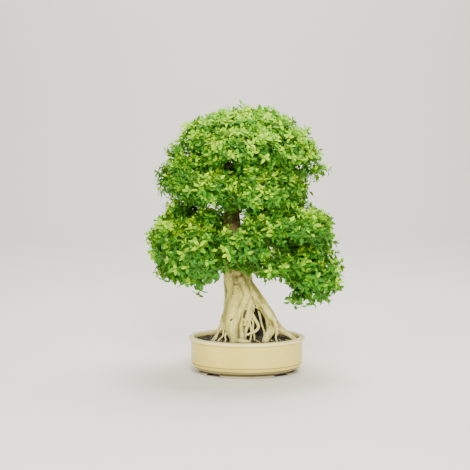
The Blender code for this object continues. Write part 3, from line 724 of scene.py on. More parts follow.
# Knots and small rotted holes on the front: (x, z, radius, depth) in mm. A shallow one is a healed scar
# inside a raised ring, and the one of negative depth is a swelling.
KNOTS = (
    (-33, 299, 12.0, 2.6), (-3, 197, 5.0, 5.0), (-5, 191, 5.6, 6.0), (-7, 185, 5.0, 5.0), (-8, 179, 4.4, 4.0),
    (-49, 172, 5.0, 7.0), (-45, 176, 4.0, 4.0), (26, 211, 3.6, 7.0), (-37, 253, 7.5, -2.0),
    (-54, 318, 9.0, 2.2), (24, 195, 7.0, 9.0), (36, 190, 6.0, 9.0),
)
KNOT_REACH, SHALLOW_KNOT, CALLUS = 2.2, 3, 0.9 * MM
# How fine the bark's long folds and the rings across them are along x, y and z, per metre.
FOLD_GRAIN, RING_GRAIN = Vector((42, 42, 13)), Vector((16, 16, 85))
# Folds deepen from FLARE_TOP down over FLARE_BLEND, and are a quarter as deep above SMOOTH_ABOVE.
FLARE_TOP, FLARE_BLEND, SMOOTH_ABOVE = 260 * MM, 160 * MM, 450 * MM
CREVICE_PASSES, CREVICE_DEPTH = 14, 2.0 * MM
# The box in which the bark is painted dark as shade inside the hollow, in metres.
HOLLOW_LOW, HOLLOW_HIGH = Vector((-14, -32, 96)) * MM, Vector((60, 60, 214)) * MM
BARK_VOXEL = 1.9 * MM
STRAND_STEPS, STRAND_SIDES, COLLAR = 6, 20, 6.5 * MM
LIMB_RADII = (11.0 * MM, 8.6 * MM, 6.4 * MM, 4.2 * MM)


def smooth_line(points, steps):
    """A Catmull-Rom curve through points of any number of values."""
    first = [2 * a - b for a, b in zip(points[0], points[1])]
    last = [2 * a - b for a, b in zip(points[-1], points[-2])]
    knots = [first, *points, last]
    line = []
    for p0, p1, p2, p3 in zip(knots, knots[1:], knots[2:], knots[3:]):
        for step in range(steps):
            t = step / steps
            line.append([
                0.5 * (2 * b + (c - a) * t + (2 * a - 5 * b + 4 * c - d) * t**2
                       + (3 * b - a - 3 * c + d) * t**3)
                for a, b, c, d in zip(p0, p1, p2, p3)
            ])
    return [*line, list(points[-1])]


def grow_tube(bm, line, sides):
    """Adds a closed tapered tube along points (x, y, z, radius) to bm."""
    points = [Vector(point[:3]) for point in line]
    across = None
    rings = []
    for number, (at, point) in enumerate(zip(points, line)):
        ahead = (points[min(number + 1, len(points) - 1)] - points[max(number - 1, 0)]).normalized()
        if across is None:
            across = ahead.orthogonal().normalized()
        across = (across - ahead * across.dot(ahead)).normalized()
        other = ahead.cross(across)
        rings.append([
            bm.verts.new(at + point[3] * (across * math.cos(turn) + other * math.sin(turn)))
            for turn in (2 * math.pi * k / sides for k in range(sides))
        ])
    for low, high in zip(rings, rings[1:]):
        for k in range(sides):
            after = (k + 1) % sides
            bm.faces.new((low[k], low[after], high[after], high[k]))
    bm.faces.new(reversed(rings[0]))
    bm.faces.new(rings[-1])


def scaled(line):
    return [[value * MM for value in point] for point in line]


def trunk_at(z):
    """x, y, z and radius of the trunk's axis at a height in mm."""
    for low, high in zip(TRUNK_AXIS, TRUNK_AXIS[1:]):
        if low[2] <= z <= high[2]:
            t = (z - low[2]) / (high[2] - low[2])
            return [(a + (b - a) * t) * MM for a, b in zip(low, high)]
    return [value * MM for value in TRUNK_AXIS[-1]]


def pad_middle(name):
    """(middle, half sizes) of a foliage pad's solid."""
    low, high = (Vector(corner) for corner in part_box("foliage_" + name))
    return (low + high) / 2, (high - low) / 2


def limb_line(name):
    """A limb's run: out of the trunk, rising a little, then level into the middle of its pad."""
    start = Vector(trunk_at(LIMB_HEIGHTS[name])[:3])
    end = start.lerp(pad_middle(name)[0], 0.94)
    outward = Vector((end.x - start.x, end.y - start.y, 0.0))
    rise = end.z - start.z
    points = [start, start + outward * 0.30 + Vector((0, 0, 0.45 * rise)),
              start + outward * 0.68 + Vector((0, 0, 0.78 * rise)), end]
    rng = random.Random(name)
    for point in points[1:3]:
        point += Vector([rng.uniform(-6, 6) * MM for _ in "xyz"])
    return smooth_line([(*point, radius) for point, radius in zip(points, LIMB_RADII)], STRAND_STEPS)


def trunk_solid():
    """The strands, and the foot of each limb swollen into a collar, as tubes that run into each other."""
    bm = bmesh.new()
    for strand in (TRUNK_AXIS, *ROOT_LINES, *RIBS):
        grow_tube(bm, smooth_line(scaled(strand), STRAND_STEPS), STRAND_SIDES)
    for name in LIMB_HEIGHTS:
        line = limb_line(name)[:9]
        for number, point in enumerate(line):
            point[3] += COLLAR * max(0.0, 1 - number / 6)
        grow_tube(bm, line, 12)
    return finished_mesh(bm, "trunk_and_roots")


def shape_bark(mesh):
    """Soft folds, fine creases, knots and holes, and how deep each point lies between its neighbours."""
    count = len(mesh.vertices)
    points = np.empty(count * 3)
    normals = np.empty(count * 3)
    mesh.vertices.foreach_get("co", points)
    mesh.vertex_normals.foreach_get("vector", normals)
    points, normals = points.reshape(-1, 3), normals.reshape(-1, 3)
    lift = np.zeros(count)
    scar = np.zeros(count)
    for number, (point, normal) in enumerate(zip(points, normals)):
        at = Vector(point)
        stretched, ring = at * FOLD_GRAIN, at * RING_GRAIN
        base = max(0.0, min(1.0, (FLARE_TOP - at.z) / FLARE_BLEND))
        lift[number] = (2.4 + 1.4 * base) * noise.noise(stretched) + 0.7 * noise.noise(stretched * 2.7)
        lift[number] += 0.6 * noise.noise(ring + Vector((3, 1, 7))) + 0.25 * noise.noise(stretched * 6.3)
        lift[number] *= MM * (1.0 if at.z < SMOOTH_ABOVE else 0.25)
        for x, z, radius, depth in KNOTS:
            if normal[1] > -0.15 or at.y > 0.0:
                continue
            away = math.hypot(at.x - x * MM, at.z - z * MM) / (radius * MM)
            if away < KNOT_REACH:
                ridge = (CALLUS if depth < SHALLOW_KNOT else 0.0) * math.exp(-9 * (away - 1.25) ** 2)
                lift[number] -= depth * MM * math.exp(-2.4 * away**2) - ridge
                # Holes deeper than 3 mm are painted darker, as shade; shallower knots and the swelling get a
                # lighter dark of their own.
                scar[number] = max(scar[number], math.exp(-2.0 * away**2) * (0.70 if depth > 3 else 0.42))
        # Painted shade inside the hollow, fading out towards the edges of its box.
        inside = [min(at[k] - HOLLOW_LOW[k], HOLLOW_HIGH[k] - at[k]) for k in range(3)]
        if min(inside) > 0 and normal[1] < 0.3:
            dark = min(1.0, inside[1] / (16 * MM)) * min(1.0, inside[0] / (6 * MM))
            scar[number] = max(scar[number], dark)
    points += normals * lift[:, None]
    mesh.vertices.foreach_set("co", points.ravel())
    edges = np.empty(len(mesh.edges) * 2, int)
    mesh.edges.foreach_get("vertices", edges)
    edges = edges.reshape(-1, 2)
    mean = points.copy()
    for _ in range(CREVICE_PASSES):
        total, share = np.zeros_like(mean), np.zeros(count)
        for a, b in ((0, 1), (1, 0)):
            np.add.at(total, edges[:, a], mean[edges[:, b]])
            np.add.at(share, edges[:, a], 1)
        mean = 0.5 * mean + 0.5 * total / np.maximum(share, 1)[:, None]
    crevice = np.clip(0.5 + ((mean - points) * normals).sum(1) / CREVICE_DEPTH, 0, 1)
    for name, values in (("crevice", crevice), ("scar", scar)):
        mesh.attributes.new(name, "FLOAT", "POINT").data.foreach_set("value", values.astype(np.float32))


def bark():
    """Smooth tan bark, greenish grey near the soil, dark on healed knots; paler on ridges as painted
    highlight, brown in creases and dark in holes and the hollow as painted shade.
    """
    mat, graph, place = new_material("smooth_tan_bark")
    z = graph.axis(place, "Z")
    tall = graph.add("ShaderNodeMapping", {}, {"Vector": place, "Scale": (1.0, 1.0, 0.28)})
    flat = graph.add("ShaderNodeMapping", {}, {"Vector": place, "Scale": (0.5, 0.5, 3.4)})
    cloud = graph.grain(tall, 30.0, 4.0, 0.6)
    streak = graph.grain(tall, 150.0, 4.0, 0.65)
    crease = graph.grain(flat, 46.0, 4.0, 0.6, 0.6)
    fine = graph.grain(place, 620.0, 4.0, 0.6)
    crevice = graph.attribute("crevice")
    scar = graph.attribute("scar")
    base = graph.blend(cloud.span(0.32, 0.68), (0.32, 0.26, 0.048), (0.68, 0.59, 0.120))
    base = graph.blend(streak.span(0.45, 0.72) * 0.55, base, (0.82, 0.725, 0.18))
    base = graph.blend(crease.span(0.58, 0.72) * 0.35, base, (0.25, 0.19, 0.055))
    base = graph.blend(graph.grain(place, 17.0, 2.0).span(0.48, 0.64) * 0.60, base, (0.31, 0.32, 0.075))
    base = graph.blend(z.span(0.17, 0.11) * 0.40, base, (0.48, 0.46, 0.19))
    # Painted shade in the creases between the folds, and a painted highlight on the ridges.
    base = graph.blend(crevice.span(0.505, 0.86) * 0.92, base, (0.11, 0.085, 0.022))
    base = graph.blend(crevice.span(0.46, 0.22) * 0.60, base, (0.88, 0.80, 0.33))
    rusty = (graph.grain(place, 34.0, 3.0) + z.span(0.27, 0.34) * 0.22).span(0.66, 0.80)
    base = graph.blend(rusty * z.span(0.25, 0.30) * 0.75, base, (0.30, 0.15, 0.055))
    base = graph.blend(z.span(0.112, 0.100) * 0.75, base, (0.07, 0.055, 0.03))
    base = graph.blend(z.span(0.34, 0.42) * 0.30, base, (0.42, 0.31, 0.16))
    # Dark healed knots, and painted shade in the holes and the hollow.
    base = graph.blend(scar.span(0.2, 0.75), base, (0.030, 0.022, 0.013))
    normal = bumped(graph, 0.5 * streak + 0.8 * crease + 0.3 * fine, 1.6 * MM, 0.8)
    finish_material(graph, {"Base Color": base, "Roughness": 0.62 + 0.2 * cloud, "Normal": normal})
    return mat


bark_finish = bark()
trunk = new_piece("trunk_and_roots", trunk_solid(), None)
skin = trunk.modifiers.new("One skin", "REMESH")
skin.mode = "VOXEL"
skin.voxel_size = BARK_VOXEL
fair = trunk.modifiers.new("Fair", "SMOOTH")
fair.factor = 0.5
fair.iterations = 9
baked(trunk)
shape_bark(trunk.data)
trunk.data.materials.append(bark_finish)
trunk.data.shade_smooth()
stand_in_for(trunk, "bark", "trunk")

# ---- Surface rootlets
# Thin pale roots of the same bark as the trunk. Some hang in the hollow or beside the left knob, and others
# run from the flare over the soil and dive into it.

ROOTLET_STARTS = (
    (-84, -30), (-76, -38), (-64, -48), (-92, -18), (-50, -62), (-12, -66), (8, -62), (28, -52), (50, -52),
    (72, -46), (98, -24), (118, -14), (-66, 34), (-30, 60), (34, 60), (78, 44),
)
ROOTLET_DIVE, ROOTLET_MARGIN = 2.6 * MM, 20 * MM


def rootlets():
    bm = bmesh.new()
    rng = random.Random(5)
    for line in HANGING_ROOTS:
        crooked = [[*(value + rng.uniform(-0.9, 0.9) for value in point[:3]), point[3]] for point in line]
        grow_tube(bm, smooth_line(scaled(crooked), 6), 9)
    for x, y in ROOTLET_STARTS:
        heading = math.atan2(y, x + 15) + rng.uniform(-0.7, 0.7)
        at = Vector((x * MM, y * MM, 0.0))
        radius = rng.uniform(0.8, 1.7) * MM
        steps = rng.randint(7, 12)
        line = []
        for step in range(steps):
            sink = max(0.0, step - steps + 3) * ROOTLET_DIVE
            arch = (2.2 * MM if step else 5.0 * MM) * (0.4 + 0.6 * rng.random())
            height = soil_height(at.x, at.y) + arch - sink
            line.append((at.x, at.y, height, radius * (1 - 0.6 * step / steps)))
            heading += rng.uniform(-0.55, 0.55)
            ahead = at + Vector((math.cos(heading), math.sin(heading), 0.0)) * rng.uniform(5, 9) * MM
            across, back = POT_HALF_LENGTH - ROOTLET_MARGIN, POT_HALF_DEPTH - ROOTLET_MARGIN
            if math.hypot(ahead.x / across, ahead.y / back) > 1:
                break
            at = ahead
        if len(line) > 3:
            grow_tube(bm, smooth_line(line, 3), 7)
    return finished_mesh(bm, "surface_rootlets")


stand_in_for(new_piece("surface_rootlets", rootlets(), bark_finish), "bark", "trunk")

# ---- Limbs
# Young wood with rougher, browner bark, kept darker than the trunk as painted shade inside the pads. Each
# limb forks inside its pad of foliage into side limbs, and these into twigs, which reach the leaves. The
# crown's limbs fork from the trunk's own tip.

PAD_NAMES = ("crown", *LIMB_HEIGHTS)
SIDE_LIMBS, TWIGS_EACH = 9, 4


def twig_bark():
    mat, graph, place = new_material("young_bark_and_shade")
    cloud = graph.grain(place, 70.0, 3.0)
    fine = graph.grain(place, 800.0, 3.0)
    # Darker than the trunk's bark: browner young wood, and painted shade for the limbs inside the pads.
    base = graph.blend(cloud.span(0.3, 0.7), (0.13, 0.10, 0.055), (0.32, 0.26, 0.14))
    base = graph.blend(fine.span(0.5, 0.7) * 0.4, base, (0.14, 0.10, 0.05))
    normal = bumped(graph, fine, 0.3 * MM, 0.5)
    finish_material(graph, {"Base Color": base, "Roughness": 0.8, "Normal": normal})
    return mat


def inside_pad(rng, middle, half, reach):
    """A random place in a pad, mostly out to the sides and above."""
    while True:
        way = Vector((rng.gauss(0, 1), rng.gauss(0, 1), rng.gauss(0.25, 0.7))).normalized()
        if way.z > -0.6:
            return middle + Vector((way.x * half.x, way.y * half.y, way.z * half.z)) * reach


def fork(bm, rng, start, end, thick, thin, sides, steps):
    """Adds a crooked twig from start to end, and returns its points."""
    span = end - start
    line = [(*start, thick)]
    for step in range(1, steps):
        t = step / steps
        sway = Vector([rng.uniform(-1, 1) for _ in "xyz"]) * span.length * 0.09
        arch = Vector((0, 0, span.length * 0.10 * math.sin(math.pi * t)))
        line.append((*(start + span * t + sway + arch), thick + (thin - thick) * t))
    line.append((*end, thin))
    grow_tube(bm, smooth_line(line, 2), sides)
    return line


def limbs(name):
    bm = bmesh.new()
    rng = random.Random("limbs of " + name)
    middle, half = pad_middle(name)
    if name == "crown":
        line = scaled(TRUNK_AXIS[-3:])
    else:
        line = limb_line(name)
        grow_tube(bm, line, 10)
    for _ in range(SIDE_LIMBS):
        at = line[min(len(line) - 1, int(len(line) * rng.uniform(0.55, 1.0)))]
        end = inside_pad(rng, middle, half, rng.uniform(0.45, 0.72))
        side = fork(bm, rng, Vector(at[:3]), end, at[3] * 0.62, 1.7 * MM, 6, 3)
        for _ in range(TWIGS_EACH):
            foot = side[rng.randint(1, len(side) - 1)]
            tip = Vector(foot[:3]).lerp(inside_pad(rng, middle, half, 0.88), rng.uniform(0.5, 0.9))
            fork(bm, rng, Vector(foot[:3]), tip, foot[3] * 0.6, 0.7 * MM, 4, 2)
    return finished_mesh(bm, "limbs_" + name)


young_bark_and_shade = twig_bark()
for name in PAD_NAMES:
    limb = new_piece("limbs_" + name, limbs(name), young_bark_and_shade)
    stand_in_for(limb, "bark", "trunk" if name == "crown" else "branch_" + name)

# ---- Foliage
# Privet leaves: small, pointed ovals in opposite pairs along short shoots, glossy mid green when grown and
# bright yellow-green while young. Shoots crowd the outside of each pad; the inside holds older leaves,
# painted darker still as shade. Leaves high up and facing up and out are painted lighter and yellower as
# painted light.

LEAF_LENGTH, LEAF_WIDTH = 26 * MM, 12 * MM
# How far a pad's leaves sit from its solid (mm), and how much wider they spread.
PAD_SET = {
    "crown": ((4, 0, -6), (1.0, 1.0, 1.0)), "crown_left": ((15, 0, -2), (0.92, 0.98, 1.0)),
    "crown_right": ((-9, 0, 0), (0.97, 1.0, 1.0)), "crown_front": ((0, 4, 0), (1.0, 1.0, 1.0)),
    "upper_left": ((10, 0, -4), (0.95, 1.0, 1.06)), "upper_right": ((-27, 0, 0), (0.80, 1.0, 1.05)),
    "upper_front": ((0, 12, 0), (1.0, 0.97, 1.0)), "lower_front": ((0, 18, 0), (1.0, 0.97, 1.0)),
    "lower_left": ((10, 0, -13), (0.99, 1.0, 1.14)), "lower_front_left": ((-6, 12, -16), (1.05, 0.98, 1.10)),
    "lower_front_right": ((0, 8, 0), (1.0, 0.98, 1.0)), "lower_right": ((-27, 0, -11), (0.94, 1.0, 0.98)),
    "hanging_right": ((-13, 0, -4), (0.96, 1.0, 1.08)),
    "hanging_front_right": ((8, 0, -10), (1.02, 1.0, 1.10)),
    "lower_back_left": ((0, -5, 0), (1.0, 0.98, 1.0)), "lower_back_right": ((0, -5, 0), (1.0, 0.98, 1.0)),
}
# Rounded masses between the tiers: centre and half sizes in mm.
TUFTS = {
    "crown": (((36, 0, 775), (56, 64, 27)), ((-20, 0, 778), (34, 50, 22))),
    "crown_right": (((96, 0, 744), (38, 66, 34)), ((202, 0, 619), (36, 36, 10))),
    "crown_left": (((-82, 0, 758), (44, 62, 30)), ((-142, 0, 750), (30, 40, 14)),
                   ((-150, -30, 640), (52, 66, 26)), ((-206, -10, 672), (22, 40, 20))),
    "crown_front": (((-5, -110, 618), (80, 50, 24)),),
    "upper_left": (((-184, -20, 500), (46, 70, 22)),),
    "upper_front_left": (((-110, -90, 480), (36, 50, 22)),),
    "upper_right": (((98, -30, 492), (58, 80, 22)),),
    "lower_front": (((34, -90, 482), (40, 40, 20)), ((-20, -130, 360), (52, 50, 18))),
    "lower_front_left": (((-150, -120, 310), (42, 46, 24)), ((-195, -90, 312), (52, 50, 24))),
    "lower_left": (((-220, -20, 322), (50, 70, 28)),),
    "lower_right": (((172, -30, 366), (78, 70, 30)),),
    "hanging_right": (((160, -60, 244), (34, 44, 30)), ((176, -60, 330), (64, 60, 26)),
                      ((262, -20, 268), (20, 30, 10))),
}
# Where the foliage is open, to the bare trunk or right through: centre and half sizes in mm.
GAPS = (
    ((-42, -130, 648), (28, 90, 22)), ((-40, -130, 466), (27, 110, 30)), ((-138, -150, 650), (28, 60, 12)),
    ((48, 0, 686), (17, 400, 13)), ((97, 0, 694), (15, 400, 13)), ((73, 0, 589), (14, 400, 12)),
    ((-76, 0, 528), (14, 400, 12)), ((62, 0, 415), (28, 400, 10)), ((133, 0, 418), (15, 400, 10)),
    ((170, 0, 301), (12, 400, 9)), ((-96, -150, 505), (18, 70, 14)),
)
GAP_MARGIN = 8
# Along a leaf: share of its length, and how wide it is there against its widest.
LEAF_STATIONS = ((0.16, 0.52), (0.42, 1.0), (0.68, 0.82), (0.88, 0.38))


def grow_leaf(bm, layers, place, size, droop, age, tone):
    """A leaf from its stalk's foot along +Y of place: folded up along the midrib, the tip curling down."""
    length, width = LEAF_LENGTH * size, LEAF_WIDTH * size / 2

    def spot(t, across):
        drop = droop * t**2
        y = length * t * (1 - 0.25 * drop**2)
        z = -length * 0.45 * drop + 0.30 * abs(across) * width
        return bm.verts.new(place @ Vector((across * width, y, z))), (t, 0.5 + across / 2)

    rows = [[spot(0.0, 0.0)]]
    rows += [[spot(t, -w), spot(t + 0.02, 0.0), spot(t, w)] for t, w in LEAF_STATIONS]
    rows.append([spot(1.0, 0.0)])
    faces = []
    for low, high in zip(rows, rows[1:]):
        if len(low) == 1:
            faces += [(low[0], high[1], high[0]), (low[0], high[2], high[1])]
        elif len(high) == 1:
            faces += [(low[0], low[1], high[0]), (low[1], low[2], high[0])]
        else:
            faces += [(low[k], low[k + 1], high[k + 1], high[k]) for k in (0, 1)]
    for corners in faces:
        face = bm.faces.new([vert for vert, _ in corners])
        for loop, (_, uv) in zip(face.loops, corners):
            loop[layers["uv"]].uv = uv
    for row in rows:
        for vert, _ in row:
            vert[layers["age"]] = age
            vert[layers["leaf_tone"]] = tone
            vert[layers["stem"]] = 0.0


def shoot(seed, pairs, height, tip_pair, spread, droop):
    """A shoot along +Z: pairs of leaves, each pair crossed over the last, the youngest on top."""
    rng = random.Random(seed)
    bm = bmesh.new()
    layers = {name: bm.verts.layers.float.new(name) for name in ("age", "leaf_tone", "stem")}
    layers["uv"] = bm.loops.layers.uv.new("leaf")
    bend = Vector((rng.uniform(-0.2, 0.2), rng.uniform(-0.2, 0.2), 1.0))
    stem = [(*(bend * height * t), (0.85 - 0.45 * t) * MM) for t in (0.0, 0.34, 0.67, 1.0)]
    grow_tube(bm, stem, 3)
    for vert in bm.verts:
        vert[layers["stem"]] = 1.0
    levels = [(number + 0.6) / (pairs + 0.6) for number in range(pairs)] + ([1.0] if tip_pair else [])
    for number, level in enumerate(levels):
        newest = tip_pair and number == len(levels) - 1
        young = max(0.0, (level - 0.45) / 0.55)
        size = (0.34 if newest else 1.0 - 0.42 * young) * rng.uniform(0.88, 1.12)
        lift = math.radians(spread + (66 - spread) * young + (14 if newest else 0))
        for half in (0, 1):
            spin = math.pi * half + math.pi / 2 * number + rng.uniform(-0.3, 0.3)
            turn = Matrix.Rotation(spin, 4, "Z") @ Matrix.Rotation(lift + rng.uniform(-0.2, 0.2), 4, "X")
            turn = turn @ Matrix.Rotation(rng.uniform(-0.35, 0.35), 4, "Y")
            place = Matrix.Translation(bend * height * level) @ turn
            grow_leaf(bm, layers, place, size, droop * rng.uniform(0.5, 1.4), young, rng.random())
    mesh = finished_mesh(bm, "shoot")
    mesh.shade_smooth()
    return mesh


def leafy_tree():
    """Shoots over a pad, out and up, fewer where it is dark. Each keeps its light and a random tone."""
    tree, graph, inputs, chance = scatter_tree(
        "leafy_pad", ("Up", "Float", 0.5), ("Wander", "Float", 0.5), ("Kinds", "Int", 4),
        ("Shade", "Float", 0.0), ("Swell", "Float", 0.09))
    smooth = graph.add("GeometryNodeSubdivisionSurface", {}, {"Mesh": inputs("Geometry"), "Level": 1})
    place = graph.add("GeometryNodeInputPosition")
    flat = place.vector("MULTIPLY", (1.0, 1.0, 0.0)).vector("NORMALIZE")
    face = graph.add("GeometryNodeInputNormal", {}, {}, "Normal")

    def lit(way):
        """How much light a leaf that faces this way gets, from 0 to 1: more above and on the outside."""
        outward = way.vector("DOT_PRODUCT", flat, out="Value")
        upward = graph.axis(way, "Z")
        return (0.5 + 0.42 * upward + 0.22 * outward).math("MINIMUM", 1.0).math("MAXIMUM", 0.0)

    share = (lit(face) * 1.5).math("MAXIMUM", 0.35).math("MINIMUM", 1.0) * inputs("Share")
    points = on_faces(graph, inputs, smooth, share, Density_Max=12000.0)
    held = keep(graph, points, "way", points.beside("Normal"), "FLOAT_VECTOR", "POINT")
    way = graph.add("GeometryNodeInputNamedAttribute", {"data_type": "FLOAT_VECTOR"}, {"Name": "way"})
    swell = (graph.grain(place, 17.0, 2.0) - 0.5) * inputs("Swell")
    offset = way.scaled_by(swell - inputs("Sink") * chance(0.3, 1.5, 9))
    placed = graph.add("GeometryNodeSetPosition", {}, {"Geometry": held, "Offset": offset})
    stray = chance((-1.0,) * 3, (1.0,) * 3, 3, "FLOAT_VECTOR").scaled_by(inputs("Wander"))
    lift = graph.add("ShaderNodeCombineXYZ", {}, {"Z": inputs("Up")})
    heading = way.vector("ADD", stray).vector("ADD", lift).vector("NORMALIZE")
    turn = graph.add("FunctionNodeAlignRotationToVector", {"axis": "Z"}, {"Vector": heading})
    spin = graph.add("ShaderNodeCombineXYZ", {}, {"Z": chance(0.0, 6.283, 6)})
    turned = {"Rotation": turn, "Rotate By": spin}
    turn = graph.add("FunctionNodeRotateRotation", {"rotation_space": "LOCAL"}, turned)
    light = lit(way)
    kind = (light + chance(-0.28, 0.28, 7) - inputs("Shade")).math("MAXIMUM", 0.0).math("MINIMUM", 0.999)
    made = graph.add("GeometryNodeInstanceOnPoints", {}, {
        "Points": placed, "Instance": picked_shapes(graph, inputs), "Pick Instance": True,
        "Instance Index": (kind * inputs("Kinds")).math("FLOOR"), "Rotation": turn,
        "Scale": chance(inputs("Smallest"), inputs("Largest"), 8)})
    made = keep(graph, made, "tone", chance(0.0, 1.0, 4))
    made = keep(graph, made, "light", light - inputs("Shade"))
    return send(tree, graph, made, inputs("Finish"))


def leaf_surface():
    """Glossy leaf: darker and bluer when old, yellow-green when young, and painted lighter and yellower where
    it is high up and faces up and out, darker where shaded. Some light comes through it.
    """
    mat, graph, place = new_material("privet_leaf")
    age, leaf_tone, tone, light, stem = map(graph.attribute, ("age", "leaf_tone", "tone", "light", "stem"))
    along, across = (graph.axis(graph.attribute("leaf", "Vector"), name) for name in "XY")
    middle = (across - 0.5).math("ABSOLUTE")
    mixed = 0.5 * tone + 0.5 * leaf_tone
    high = graph.axis(place, "Z")
    old = graph.blend(mixed.span(0.15, 0.85), (0.006, 0.070, 0.010), (0.038, 0.290, 0.008))
    fresh = graph.blend(mixed.span(0.2, 0.8), (0.17, 0.62, 0.001), (0.60, 0.96, 0.001))
    # How fresh a leaf looks: its age and tone, with painted light from how it faces and how high it is, and
    # painted shade from the pad's Shade.
    youth_and_light = age * 0.8 + (light - 0.55) * 0.80 + (high - 0.50) * 0.75
    youth_and_light = youth_and_light + (tone - 0.5) * 0.9 + (leaf_tone - 0.5) * 0.3
    base = graph.blend(youth_and_light.span(0.34, 0.84), old, fresh)
    tinted = (tone * age).span(0.80, 0.95) * 0.55
    base = graph.blend(tinted, base, (0.80, 0.48, 0.02))
    patch = graph.grain(place, 260.0, 2.0)
    base = graph.blend(patch.span(0.35, 0.7) * 0.15, base, (0.14, 0.40, 0.02))
    rib = middle.span(0.055, 0.015) * 0.55
    base = graph.blend(rib, base, (0.34, 0.56, 0.06))
    veins = ((along * 7.0 + middle * 5.0).math("FRACT") - 0.5).math("ABSOLUTE").span(0.40, 0.5)
    base = graph.blend(veins * 0.15, base, (0.22, 0.46, 0.04))
    base = graph.blend(stem, base, (0.20, 0.24, 0.08))
    height = veins * -0.4 - rib + 0.2 * patch
    rough = 0.46 + 0.20 * patch + 0.10 * age

    def surface(shader):
        glow = graph.add("ShaderNodeBsdfTranslucent", {}, {"Color": (0.28, 0.62, 0.0)})
        return graph.add("ShaderNodeMixShader", {}, {"Fac": 0.20, 1: shader, 2: glow})

    normal = bumped(graph, height, 0.4 * MM, 0.5)
    values = {"Base Color": base, "Roughness": rough, "Normal": normal, "Specular IOR Level": 0.20}
    finish_material(graph, values, surface)
    return mat


def pad_surface(name):
    """The pad's own solid with its tufts, open at the gaps, for shoots to grow on."""
    bm = bmesh.new()
    bm.from_mesh(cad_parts["foliage_" + name].data)
    bmesh.ops.remove_doubles(bm, verts=bm.verts, dist=0.05 * MM)
    middle = pad_middle(name)[0]
    shift, grow = (Vector(values) for values in PAD_SET.get(name, ((0, 0, 0), (1, 1, 1))))
    for vert in bm.verts:
        vert.co = middle + (vert.co - middle) * grow + shift * MM
    for centre, half in TUFTS.get(name, ()):
        stretch = Matrix.Diagonal((*(Vector(half) * MM), 1.0))
        place = Matrix.Translation(Vector(centre) * MM) @ stretch
        bmesh.ops.create_icosphere(bm, subdivisions=2, radius=1.0, matrix=place)
    bmesh.ops.recalc_face_normals(bm, faces=bm.faces)
    bmesh.ops.subdivide_edges(bm, edges=bm.edges, cuts=1, use_grid_fill=True, smooth=1.0)
    bare = []
    for face in bm.faces:
        at = face.calc_center_median() / MM
        for centre, half in GAPS:
            if sum(((at[k] - centre[k]) / (half[k] + GAP_MARGIN)) ** 2 for k in range(3)) < 1:
                bare.append(face)
                break
    bmesh.ops.delete(bm, geom=bare, context="FACES")
    return finished_mesh(bm, "pad_" + name)


def joined(name, parts):
    """Joins plain mesh objects into one piece, keeping their attributes."""
    with bpy.context.temp_override(active_object=parts[0], selected_editable_objects=parts):
        bpy.ops.object.join()
    parts[0].name = name
    return parts[0]


# Leaves are smaller towards the top: size against the full leaf.
TIER_SIZES = {"crown": 0.86, "upper": 0.94, "lower": 1.04, "hanging": 1.08}
leaf_finish = leaf_surface()
leafy = leafy_tree()
# Kinds of shoot from the darkest places to the brightest: seed, pairs, height, tip pair, spread, droop.
shoot_kinds = shape_store("shoots", (
    shoot(31, 2, 16 * MM, False, -12, 1.1),
    shoot(32, 3, 22 * MM, False, 6, 0.9),
    shoot(33, 3, 24 * MM, True, 16, 0.7),
    shoot(34, 4, 30 * MM, True, 22, 0.6),
    shoot(35, 3, 26 * MM, True, 28, 0.4),
))
growing = {"Shapes": shoot_kinds, "Finish": leaf_finish, "Kinds": 5}
for number, name in enumerate(PAD_NAMES):
    size = TIER_SIZES[name.split("_")[0]]
    seed = 101 + 7 * number
    outer = scattered("outer", pad_surface(name), leafy, **growing, Spacing=15.5 * MM * size, Share=1.0,
                      Seed=seed, Smallest=0.74 * size, Largest=1.12 * size, Sink=16 * MM, Up=0.45,
                      Wander=0.65, Shade=0.0, Swell=0.09)
    # The inner layer: its Shade value paints these leaves darker, as painted shade deep in the pad.
    inner = scattered("inner", pad_surface(name), leafy, **growing, Spacing=20 * MM, Share=0.9, Seed=seed + 1,
                      Smallest=0.85, Largest=1.15, Sink=36 * MM, Up=0.2, Wander=0.9, Shade=0.36, Swell=0.03)
    foliage = joined("leaves_" + name, [outer, inner])
    foliage.data.shade_smooth()
    stand_in_for(foliage, "leaves", "foliage_" + name)

# ---- Studio
# A pale paper sweep. The key light stands high beside the camera, a fill is on the left, one light is above
# the tree and one is for the sweep alone.

SWEEP_HALF, SWEEP_BEND_AT, SWEEP_BEND, SWEEP_HEIGHT = 6.0, 3.8, 1.2, 5.0


def pale_paper():
    mat, graph, place = new_material("pale_paper")
    cloud = graph.grain(place, 1.5, 2.0)
    base = graph.blend(cloud, (0.86, 0.85, 0.79), (0.89, 0.88, 0.83))
    finish_material(graph, {"Base Color": base, "Roughness": 0.9})
    return mat


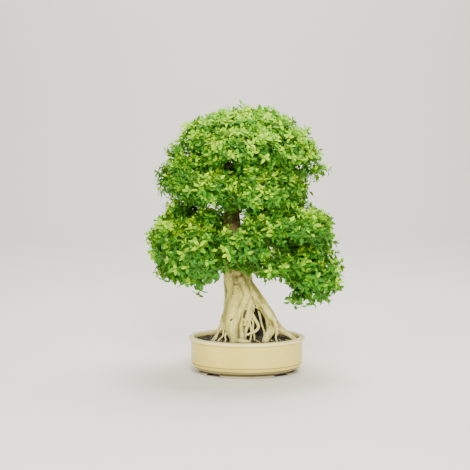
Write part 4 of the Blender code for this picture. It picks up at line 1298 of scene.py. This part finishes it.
def studio_sweep():
    bm = bmesh.new()
    profile = [(-SWEEP_HALF, 0.0), (SWEEP_BEND_AT, 0.0)]
    for turn in (math.radians(9 * k) for k in range(1, 11)):
        y = SWEEP_BEND_AT + SWEEP_BEND * math.sin(turn)
        profile.append((y, SWEEP_BEND - SWEEP_BEND * math.cos(turn)))
    profile.append((SWEEP_BEND_AT + SWEEP_BEND, SWEEP_HEIGHT))
    rows = [[bm.verts.new((x, y, z)) for x in (-SWEEP_HALF, SWEEP_HALF)] for y, z in profile]
    for low, high in zip(rows, rows[1:]):
        bm.faces.new((low[0], low[1], high[1], high[0]))
    return finished_mesh(bm, "studio_sweep")


def area_light(name, place, aim, size, watts, colour):
    lamp = bpy.data.lights.new(name, "AREA")
    lamp.shape = "SQUARE"
    lamp.size = size
    lamp.energy = watts
    lamp.color = colour
    holder = bpy.data.objects.new(name, lamp)
    holder.location = place
    holder.rotation_euler = (Vector(aim) - Vector(place)).to_track_quat("-Z", "Y").to_euler()
    bpy.context.scene.collection.objects.link(holder)


sweep = new_piece("studio_sweep", studio_sweep(), pale_paper())
area_light("key_light", (0.35, -3.7, 2.3), (0, 0, 0.40), 1.3, 262, (1.0, 0.97, 0.87))
area_light("fill_light", (-1.9, -2.2, 2.2), (0, 0, 0.5), 1.8, 46, (1.0, 0.98, 0.90))
area_light("backdrop_light", (0.0, 2.6, 3.6), (0, 5.0, 1.2), 2.4, 150, (1.0, 0.98, 0.92))
area_light("top_light", (0.3, 0.6, 2.8), (0, 0, 0.6), 1.6, 125, (1.0, 0.98, 0.90))
world = bpy.data.worlds.new("studio_air")
bpy.context.scene.world = world
world.use_nodes = True
air = world.node_tree.nodes["Background"].inputs
air["Color"].default_value = (1.0, 0.98, 0.93, 1.0)
air["Strength"].default_value = 0.26

CAMERA_DOWN = math.radians(5.99)
camera = bpy.data.cameras.new("camera")
camera.sensor_width = 36.0
camera.lens = 102.6
viewer = bpy.data.objects.new("camera", camera)
viewer.location = (-0.036, -4.06, 0.85)
viewer.rotation_euler = (math.pi / 2 - CAMERA_DOWN, 0.0, 0.0)
bpy.context.scene.collection.objects.link(viewer)
bpy.context.scene.camera = viewer
